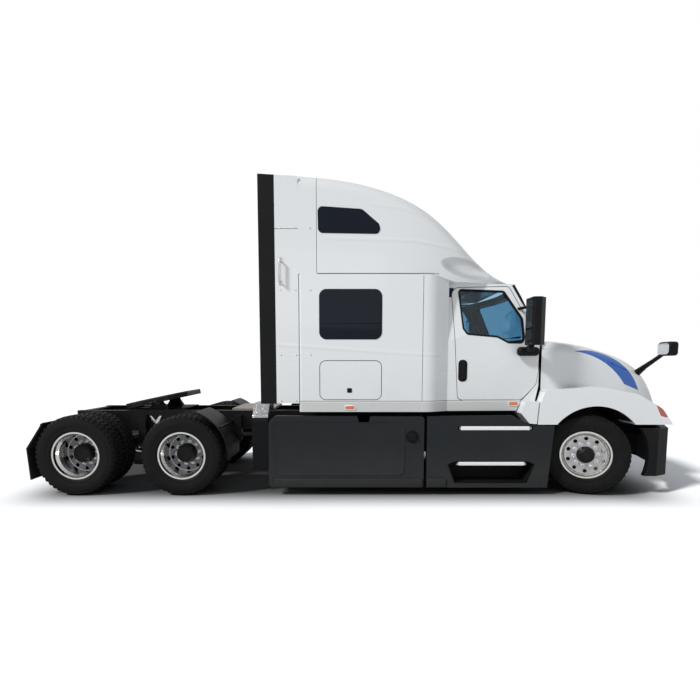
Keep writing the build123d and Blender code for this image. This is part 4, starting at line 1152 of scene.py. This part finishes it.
def makeTailLamps(word, flip):
    z = tailLook["z"]
    back, front = tailLook["depth"]
    for kind, x, wide, tall, material, slot in tailLook["parts"]:
        bm = bmesh.new()
        for y in tailLook["across"]:
            addBlock(bm, (x + back, y - wide, z - tall), (x + front, y + wide, z + tall), tailLook["round"], 3)
        newPiece("tail_lamp_" + kind + "_" + word, bm, material, "root", 40, flip)


for word, flip in flips.items():
    makeHoodMirror(word, flip)
    makeMirrorFoot(word, flip)
    makeStepWell(word, flip)
    makeQuarterFender(word, flip)
    makeTailLamps(word, flip)
print("hood mirrors, wells, quarter fenders and tail lamps made")

# fifth wheel: a deep rim under the tilted plate, two ribs, and a pull handle that ends in a ring
fifthLook = {
    "pivot": (-2.830, 0.0, 1.120), "tilt": 12.0,  # degrees
    "high": 0.041, "rim": 0.052, "wall": 0.012,
    "outline": (
        (0.418, -0.298), (0.418, 0.298), (0.199, 0.478), (-0.180, 0.478), (-0.518, 0.208),
        (-0.518, 0.152), (-0.062, 0.047), (-0.062, -0.047), (-0.518, -0.152), (-0.518, -0.208),
        (-0.180, -0.478), (0.199, -0.478),
    ),
    "ribs": (-0.21, 0.21), "ribThick": 0.007, "ribReach": 0.405,
    "handleX": 0.060, "handle": (-0.455, -0.640), "handleRadius": 0.009, "ringY": -0.672,
    "ring": [(0.030, -0.007), (0.037, -0.005), (0.040, 0.0), (0.037, 0.005), (0.030, 0.007), (0.026, 0.0),
             (0.030, -0.007)],
}
bm = bmesh.new()
plateOutline = [Vector(point) for point in fifthLook["outline"]]
plateInner = grown(plateOutline, -fifthLook["wall"])
high, low = fifthLook["high"], fifthLook["high"] - fifthLook["rim"]
addLoops(bm, [[(p.x, p.y, z) for p in outline] for outline, z in
              ((plateOutline, high), (plateOutline, low), (plateInner, low), (plateInner, high))])
for y in fifthLook["ribs"]:
    thick = fifthLook["ribThick"]
    addBlock(bm, (0.0, y - thick, low + 0.010), (fifthLook["ribReach"], y + thick, high), 0.002)
x, (start, end) = fifthLook["handleX"], fifthLook["handle"]
addRod(bm, (x, start, low + 0.020), (x, end, low + 0.010), fifthLook["handleRadius"], 14)
ringPlace = Matrix.Translation((x, fifthLook["ringY"], low + 0.010)) @ Matrix.Rotation(pi / 2, 4, "X")
addTurned(bm, fifthLook["ring"], 28, ringPlace)
tilted = Matrix.Translation(fifthLook["pivot"]) @ Matrix.Rotation(radians(-fifthLook["tilt"]), 4, "Y")
newPiece("fifth_wheel_rim", bm, chassis, "fifth_wheel", 35, tilted)

# eyes of the headlamps and fog lamps in the bumper, turned about the way the surface faces
lampLook = {
    "headAcross": (0.740, 0.915), "headZ": 1.098, "fogAcross": 0.700, "fogZ": 0.470, "steps": 40,
    "head": (  # piece, profile and material
        ("lamp_eye", [(0, 0.012), (0.022, 0.010), (0.040, 0.002), (0.046, -0.004), (0, -0.006)], lens),
        ("lamp_bezel", [(0.048, -0.004), (0.052, 0.006), (0.060, 0.005), (0.068, -0.004), (0.056, -0.008),
                        (0.048, -0.004)], chrome),
    ),
    "fog": (
        ("fog_lamp_rims", [(0.050, -0.010), (0.072, -0.008), (0.076, 0.004), (0.070, 0.009), (0.062, 0.004),
                           (0.056, -0.006)], seal, "black_plastic"),
        ("fog_lamp_lenses", [(0, 0.006), (0.030, 0.004), (0.052, -0.002), (0.062, -0.008), (0, -0.009)],
         lampCover, "lamp_lens"),
    ),
}
for word, side in sides.items():
    for y in lampLook["headAcross"]:
        at, normal = touch("headlamps", (4.6, side * y, lampLook["headZ"]), (-1, 0, 0))
        if at is None:
            print("no lamp face at", y)
            continue
        for name, profile, material in lampLook["head"]:
            bm = bmesh.new()
            addTurned(bm, profile, lampLook["steps"], facing(at, normal))
            newPiece("%s_%s_%d" % (name, word, round(y * 1000)), bm, material, "hood", 50)
for name, profile, material, slot in lampLook["fog"]:
    bm = bmesh.new()
    for side in sides.values():
        at, normal = touch("bumper", (4.6, side * lampLook["fogAcross"], lampLook["fogZ"]), (-1, 0, 0))
        addTurned(bm, profile, lampLook["steps"], facing(at, normal))
    newPiece(name, bm, material, "root", 50)
print("fifth wheel, headlamp eyes and fog lamps made")

# grab handle high on each extender
grabLook = {
    "x": -0.955, "low": 2.615, "high": 2.885, "out": 1.268, "radius": 0.013,
    "skin": 1.216, "lean": 0.012,
    "foot": (0.024, 0.030), "footRound": 0.016, "footY": 1.2145, "footThick": 0.006,
}
for word, side in sides.items():
    bm = bmesh.new()
    x, out, lean = grabLook["x"], side * grabLook["out"], grabLook["lean"]
    low, high = grabLook["low"], grabLook["high"]
    addRod(bm, (x, out, low), (x, out, high), grabLook["radius"], 18, soft=0.003)
    for z, footZ in ((low + lean, low), (high - lean, high)):
        addRod(bm, (x, side * grabLook["skin"], footZ), (x, out, z), grabLook["radius"] * 0.95, 16)
        outline = roundedOutline(oblongAt(x, footZ, *grabLook["foot"]), grabLook["footRound"])
        addPlate(bm, outline, side * grabLook["footY"], side * grabLook["footThick"], 0.002)
    newPiece("grab_handle_" + word, bm, satin, "root", 40)

# fuel cap with three grips and a turned ring, on the rear skirt
capLook = {"at": (0.656, 1.204, 0.749), "radius": 0.062, "steps": 48, "grips": 3}
for word, flip in flips.items():
    bm = bmesh.new()
    r = capLook["radius"]
    cap = [(0, 0.030), (r * 0.72, 0.030), (r * 0.80, 0.022), (r * 0.95, 0.020), (r, 0.014), (r, -0.010),
           (r * 0.9, -0.020), (0, -0.020)]
    ring = [(r + 0.004, -0.006), (r + 0.016, -0.006), (r + 0.014, 0.006), (r + 0.006, 0.008),
            (r + 0.004, -0.006)]
    addTurned(bm, cap, capLook["steps"])
    for k in range(capLook["grips"]):
        turned = Matrix.Rotation(2 * pi * k / capLook["grips"], 4, "Y")
        addBlock(bm, (-0.007, 0.024, 0.010), (0.007, 0.038, r * 0.86), 0.004, 2, turned)
    addTurned(bm, ring, capLook["steps"])
    place = flip @ Matrix.Translation(capLook["at"])
    newPiece("fuel_cap_" + word, bm, blackPlastic, "root", 40, place)

# rolled lower lips of the side skirts, and the rear skirt's swelling panel
lipLook = {
    "runs": ((-1.060, 0.795), (0.850, 1.085)),  # rear and front
    "low": 0.108, "high": 0.222, "in": 1.192, "out": 1.221, "round": 0.016,
    "panel": [(-1.030, 0.262), (0.560, 0.262), (0.560, 0.930), (-1.090, 0.930)], "panelRound": 0.090,
    "panelY": 1.1985, "panelThick": 0.010, "shelf": 0.030, "swell": 0.006,
}
for word, flip in flips.items():
    bm = bmesh.new()
    for back, front in lipLook["runs"]:
        low, high = (back, lipLook["in"], lipLook["low"]), (front, lipLook["out"], lipLook["high"])
        addBlock(bm, low, high, lipLook["round"], 4)
    panel = flatFace(bm, roundedOutline(lipLook["panel"], lipLook["panelRound"]), lipLook["panelY"])
    top = pull(bm, [panel], (0, lipLook["panelThick"], 0))[1]
    bmesh.ops.inset_region(
        bm, faces=top, thickness=lipLook["shelf"], depth=lipLook["swell"], use_even_offset=True
    )
    newPiece("skirt_relief_" + word, bm, charcoal, "root", 25, flip)

# bright edges with two rows of teeth along both steps
stepLook = {
    "face": 1.199, "thick": (-0.010, 0.001), "round": 0.010, "soft": 0.003,
    "upper": (1.255, 0.826, 2.110, 0.880), "lower": (1.235, 0.386, 2.060, 0.432),
    "pitch": 0.030, "margin": 0.035, "inset": 0.016, "tooth": (0.0075, 0.0045, 0.004),
}
for word, flip in flips.items():
    for level in ("upper", "lower"):
        left, low, right, high = stepLook[level]
        face, pitch = stepLook["face"], stepLook["pitch"]
        inner, outer = stepLook["thick"]
        bm = bmesh.new()
        outline = roundedOutline(oblong(left, low, right, high), stepLook["round"])
        addPlate(bm, outline, face + inner, outer - inner, stepLook["soft"])
        foot, tip, tall = stepLook["tooth"]
        for k in range(int((right - left - 0.04) / pitch)):
            x = left + stepLook["margin"] + k * pitch
            for toothX, z in ((x, low + stepLook["inset"]), (x + pitch * 0.5, high - stepLook["inset"])):
                addRod(bm, (toothX, face, z), (toothX, face + tall, z), foot, 8, tip)
        newPiece("step_edge_" + level + "_" + word, bm, stepBright, "root", 30, flip)

# forked brackets on the rails between the drive wheels
forkLook = {
    "middle": -2.833, "top": 0.925, "crotch": 0.855, "split": 0.810, "foot": 0.735, "arms": 0.086, "arm": 0.030,
    "neck": 0.030, "rail": 0.430, "thick": 0.016,
}
for word, flip in flips.items():
    bm = bmesh.new()
    x, top, crotch, split, foot = (forkLook[key] for key in ("middle", "top", "crotch", "split", "foot"))
    arms, neck, inner = forkLook["arms"], forkLook["neck"], forkLook["arms"] - forkLook["arm"]
    outline = [(x - neck, foot), (x + neck, foot), (x + neck, split), (x + arms, top), (x + inner, top),
               (x, crotch), (x - inner, top), (x - arms, top), (x - neck, split)]
    addPlate(bm, outline, forkLook["rail"], forkLook["thick"], 0.003)
    newPiece("rail_fork_" + word, bm, satin, "root", 30, flip)

# amber lamps along the front of the roof
roofLampLook = {
    "across": (-0.62, -0.21, 0.0, 0.21, 0.62), "z": 3.02, "size": (0.060, 0.022), "depth": (-0.006, 0.016),
}
bm = bmesh.new()
for y in roofLampLook["across"]:
    at, normal = touch("roof_fairing", (3.0, y, roofLampLook["z"]), (-1, 0, 0))
    if at is None:
        continue
    (long, half), (back, front) = roofLampLook["size"], roofLampLook["depth"]
    addBlock(bm, (-half, -long, back), (half, long, front), 0.008, 4, facing(at, normal, "Z", "X"))
newPiece("roof_lamps", bm, amber, "root", 50)
print("handles, caps, skirt relief, steps, brackets and roof lamps made")


# seats and bunk

seatLook = {
    "places": {"right": -0.520, "left": 0.520}, "wide": 0.250, "headWide": 0.130,
    "cushion": ((1.120, 1.450), (1.600, 1.560)), "hip": (1.160, 1.560), "lean": 9,  # degrees back
    "back": ((-0.500, -0.055), (0.0, 0.050)), "head": ((-0.680, -0.045), (-0.515, 0.040)),
    "cushionChannels": ((1, -0.5), (1, 0.5), (0, 0.1)),
    "backChannels": ((1, -0.5), (1, 0.5), (0, -0.3), (0, 0.3)),
    "plinth": (  # two corners in X and Z, half width, round and its segments
        ((1.180, 1.262), (1.540, 1.290), 0.175, 0.006, 2), ((1.200, 1.290), (1.520, 1.400), 0.150, 0.030, 4),
        ((1.150, 1.400), (1.560, 1.445), 0.210, 0.012, 3),
    ),
    "armRest": 0.238,
}
bunkLook = {
    "low": (-0.470, -1.075, 1.700), "high": (0.100, 1.075, 1.845),
    "channels": ((1, -0.6), (1, -0.2), (1, 0.2), (1, 0.6)),
    "boards": (
        ((-0.470, -1.078, 1.675), (0.100, 1.078, 1.698)),
        ((-0.600, -1.078, 1.262), (-0.560, 1.078, 1.690)),
    ),
}


def addCushion(bm, low, high, crown, matrix=Matrix.Identity(4), channels=(), cuts=12, drawn=0.012):
    # a crowned block: its top swells, its sides draw in between the corners, its channels are sewn down
    low, high = Vector(low), Vector(high)
    half = (high - low) / 2
    pad = bmesh.new()
    bmesh.ops.create_cube(pad, size=2)
    bmesh.ops.subdivide_edges(pad, edges=pad.edges[:], cuts=cuts, use_grid_fill=True)
    for vert in pad.verts:
        u, v, w = vert.co
        rounding = 1 - 0.040 * (u * u * v * v + v * v * w * w + u * u * w * w)
        x = u * half.x * rounding - (u ** 7) * drawn * (1 - v * v)
        y = v * half.y * rounding - (v ** 7) * drawn * (1 - u * u)
        z = w * half.z * rounding + max(w, 0) * crown * (1 - u ** 4) * (1 - v ** 4)
        for axis, place in channels:
            if w > 0.5 and abs((u, v)[axis] - place) < 1 / cuts:
                z -= crown * 0.45
        seam = max(abs(u), abs(v)) > 0.999 and 0.70 < w < 0.86
        shrink = 0.985 if seam else 1.0
        vert.co = Vector((x * shrink, y * shrink, z))
    bmesh.ops.transform(pad, matrix=matrix @ Matrix.Translation((low + high) / 2), verts=pad.verts)
    joinInto(bm, pad)


def padPiece(name, material, fill, *cushion, **shape):
    bm = bmesh.new()
    addCushion(bm, *cushion, **shape)
    piece = newPiece(name, bm, material, "root", 80)
    smooth = piece.modifiers.new("smooth", "SUBSURF")
    smooth.levels = smooth.render_levels = 1
    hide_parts("cab_interior")


def spread(rows, y, wide):
    # two corners given in X and Z, spread by wide to each side of y
    (backX, lowZ), (frontX, highZ) = rows
    return (backX, y - wide, lowZ), (frontX, y + wide, highZ)


for word, y in seatLook["places"].items():
    wide = seatLook["wide"]
    padPiece("seat_cushion_" + word, seatCloth, 0.8, *spread(seatLook["cushion"], y, wide), 0.022,
             channels=seatLook["cushionChannels"])
    hipX, hipZ = seatLook["hip"]
    lean = Matrix.Translation((hipX, y, hipZ)) @ Matrix.Rotation(radians(90 - seatLook["lean"]), 4, "Y")
    padPiece("seat_back_" + word, seatCloth, 0.8, *spread(seatLook["back"], 0.0, wide * 0.96), 0.020, lean,
             channels=seatLook["backChannels"])
    padPiece("head_rest_" + word, seatCloth, 0.9, *spread(seatLook["head"], 0.0, seatLook["headWide"]), 0.012,
             lean, cuts=8)
    bm = bmesh.new()
    for first, second, halfWide, soft, segments in seatLook["plinth"]:
        addBlock(bm, *spread((first, second), y, halfWide), soft, segments)
    for armY in (y - seatLook["armRest"], y + seatLook["armRest"]):
        addRod(bm, (1.130, armY, 1.700), (1.130, armY, 1.660), 0.018, 12)
        addBlock(bm, *spread(((1.120, 1.690), (1.400, 1.730)), armY, 0.022), 0.014, 3)
    base = newPiece("seat_base_" + word, bm, dashPlastic, "root", 40)
    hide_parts("cab_interior")
padPiece("bunk_mattress", mattressCloth, 0.7, bunkLook["low"], bunkLook["high"], 0.012,
         channels=bunkLook["channels"], cuts=16, drawn=0.006)
bm = bmesh.new()
for low, high in bunkLook["boards"]:
    addBlock(bm, low, high, 0.006)
bunkBase = newPiece("bunk_base", bm, dashPlastic, "root")
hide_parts("cab_interior")
print("seats and bunk made")

# amber side markers on bright feet, sunk into the panels
markerLook = {
    "places": (("rear", "sleeper_sides", -0.117, 1.115), ("front", "cab_shell", 1.948, 1.150)),
    "parts": (  # piece, half width and height, round, place out from the panel, thickness, soft edge and looks
        ("marker_foot_", 0.075, 0.032, 0.030, -0.004, 0.010, 0.003, chrome, "polished_aluminium"),
        ("marker_", 0.058, 0.022, 0.021, 0.002, 0.016, 0.007, amber, "lamp_lens"),
    ),
}
for word, side in sides.items():
    for end, node, x, z in markerLook["places"]:
        at = touch(node, (x, side * 1.4, z), (0, -side, 0))[0]
        if at is None:
            print("no place for marker", end, word)
            continue
        for name, wide, tall, radius, out, thickness, soft, material, slot in markerLook["parts"]:
            bm = bmesh.new()
            outline = roundedOutline(oblongAt(x, z, wide, tall), radius)
            addPlate(bm, outline, at.y + side * out, side * thickness, soft)
            newPiece(name + end + "_" + word, bm, material, "root")
print("markers made")


# camera, light and ground

stageLook = {
    "floor": (0.88, 0.88, 0.875, 1),
    "floorSpeck": (0.84, 0.84, 0.84, 1),
    "floorSeen": (1.36, 1.36, 1.36, 1),  # as the camera sees it, so that it meets the white background
    "floorPaintedShadow": (0.03, 0.03, 0.032, 1),  # painted shadow on the ground under the truck
    "shadowMiddle": (-0.15, -0.05), "shadowLong": (3.45, 4.45), "shadowWide": (0.90, 1.80), "shadowDepth": 0.93,
    "ambient": (0.90, 0.95, 1.0, 1),
    "ambientStrength": 0.31,
    "sunStrength": 2.5,
    "sunSpread": 8.0,  # degrees
    "sunFrom": (-3.8, -2.3, 3.5),
    "fillStrength": 22.0, "fillSize": (7.0, 2.0), "fillFrom": (-2.5, -7.5, 3.6), "fillTo": (-0.5, 0, 1.2),
    "reflected": 0.62,  # how bright the white surroundings are in paint and metal
}
cameraLook = {
    "at": (-0.178, -6.805, 1.635),
    "down": 5.343,  # degrees
    "focal": 23.49, "sensor": 36,  # millimetres
    "shift": (0.00714, 0.0824),
}


def makeFloor():
    bm = bmesh.new()
    bmesh.ops.create_grid(bm, x_segments=2, y_segments=2, size=150)
    mesh = bpy.data.meshes.new("floor")
    bm.to_mesh(mesh)
    bm.free()
    s = Shader("floorPale")
    x, y = s.split("xy")
    # a painted shadow: the floor darkens under the truck's footprint, also as the camera sees it
    middleX, middleY = stageLook["shadowMiddle"]
    long = 1 - abs(x - middleX).ramp(*stageLook["shadowLong"])
    wide = 1 - abs(y - middleY).ramp(*stageLook["shadowWide"])
    under = long * wide * stageLook["shadowDepth"]
    base = s.mix(s.noise(0.6, 3.0) * 0.04, stageLook["floor"], stageLook["floorSpeck"])
    base = s.mix(under, base, stageLook["floorPaintedShadow"])
    seenColour = s.mix(under, stageLook["floorSeen"], stageLook["floorPaintedShadow"])
    plain = s.node("ShaderNodeBsdfDiffuse", None, {"Color": base})
    white = s.node("ShaderNodeBsdfDiffuse", None, {"Color": seenColour})
    seen = s.node("ShaderNodeLightPath", output="Is Camera Ray")
    mixed = s.node("ShaderNodeMixShader", None, {0: seen, 1: plain, 2: white})
    s.node("ShaderNodeOutputMaterial", None, {"Surface": mixed})
    mesh.materials.append(s.owner)
    floor = bpy.data.objects.new("floor", mesh)
    bpy.context.scene.collection.objects.link(floor)


def makeWorld():
    # white where the camera or glass sees it, dimmer in reflections, and soft as light
    world = bpy.data.worlds.new("studio")
    bpy.context.scene.world = world
    s = Shader("studio", world)
    rays = ("Is Camera Ray", "Is Transmission Ray", "Is Glossy Ray")
    camera, through, glossy = (s.node("ShaderNodeLightPath", output=ray) for ray in rays)
    shown = camera.most(through).most(glossy * stageLook["reflected"])
    ambient = {"Color": stageLook["ambient"], "Strength": stageLook["ambientStrength"]}
    soft = s.node("ShaderNodeBackground", None, ambient)
    white = s.node("ShaderNodeBackground", None, {"Color": (1, 1, 1, 1), "Strength": 1.0})
    mixed = s.node("ShaderNodeMixShader", None, {0: shown, 1: soft, 2: white})
    s.node("ShaderNodeOutputWorld", None, {"Surface": mixed})


def makeLamps():
    sun = bpy.data.lights.new("sun", "SUN")
    sun.energy = stageLook["sunStrength"]
    sun.angle = radians(stageLook["sunSpread"])
    lamp = bpy.data.objects.new("sun", sun)
    lamp.rotation_euler = Vector(stageLook["sunFrom"]).to_track_quat("Z", "Y").to_euler()
    bpy.context.scene.collection.objects.link(lamp)
    fill = bpy.data.lights.new("fill", "AREA")
    fill.energy = stageLook["fillStrength"]
    fill.shape = "RECTANGLE"
    fill.size, fill.size_y = stageLook["fillSize"]
    soft = bpy.data.objects.new("fill", fill)
    soft.location = stageLook["fillFrom"]
    soft.rotation_euler = (soft.location - Vector(stageLook["fillTo"])).to_track_quat("Z", "Y").to_euler()
    bpy.context.scene.collection.objects.link(soft)


def makeCamera():
    lensData = bpy.data.cameras.new("camera")
    lensData.lens = cameraLook["focal"]
    lensData.sensor_width = cameraLook["sensor"]
    lensData.shift_x, lensData.shift_y = cameraLook["shift"]
    camera = bpy.data.objects.new("camera", lensData)
    camera.location = cameraLook["at"]
    camera.rotation_euler = (radians(90 - cameraLook["down"]), 0, 0)
    bpy.context.scene.collection.objects.link(camera)
    bpy.context.scene.camera = camera


makeFloor()
makeWorld()
makeLamps()
makeCamera()
bpy.context.scene.view_settings.view_transform = "Standard"
print("stage set")
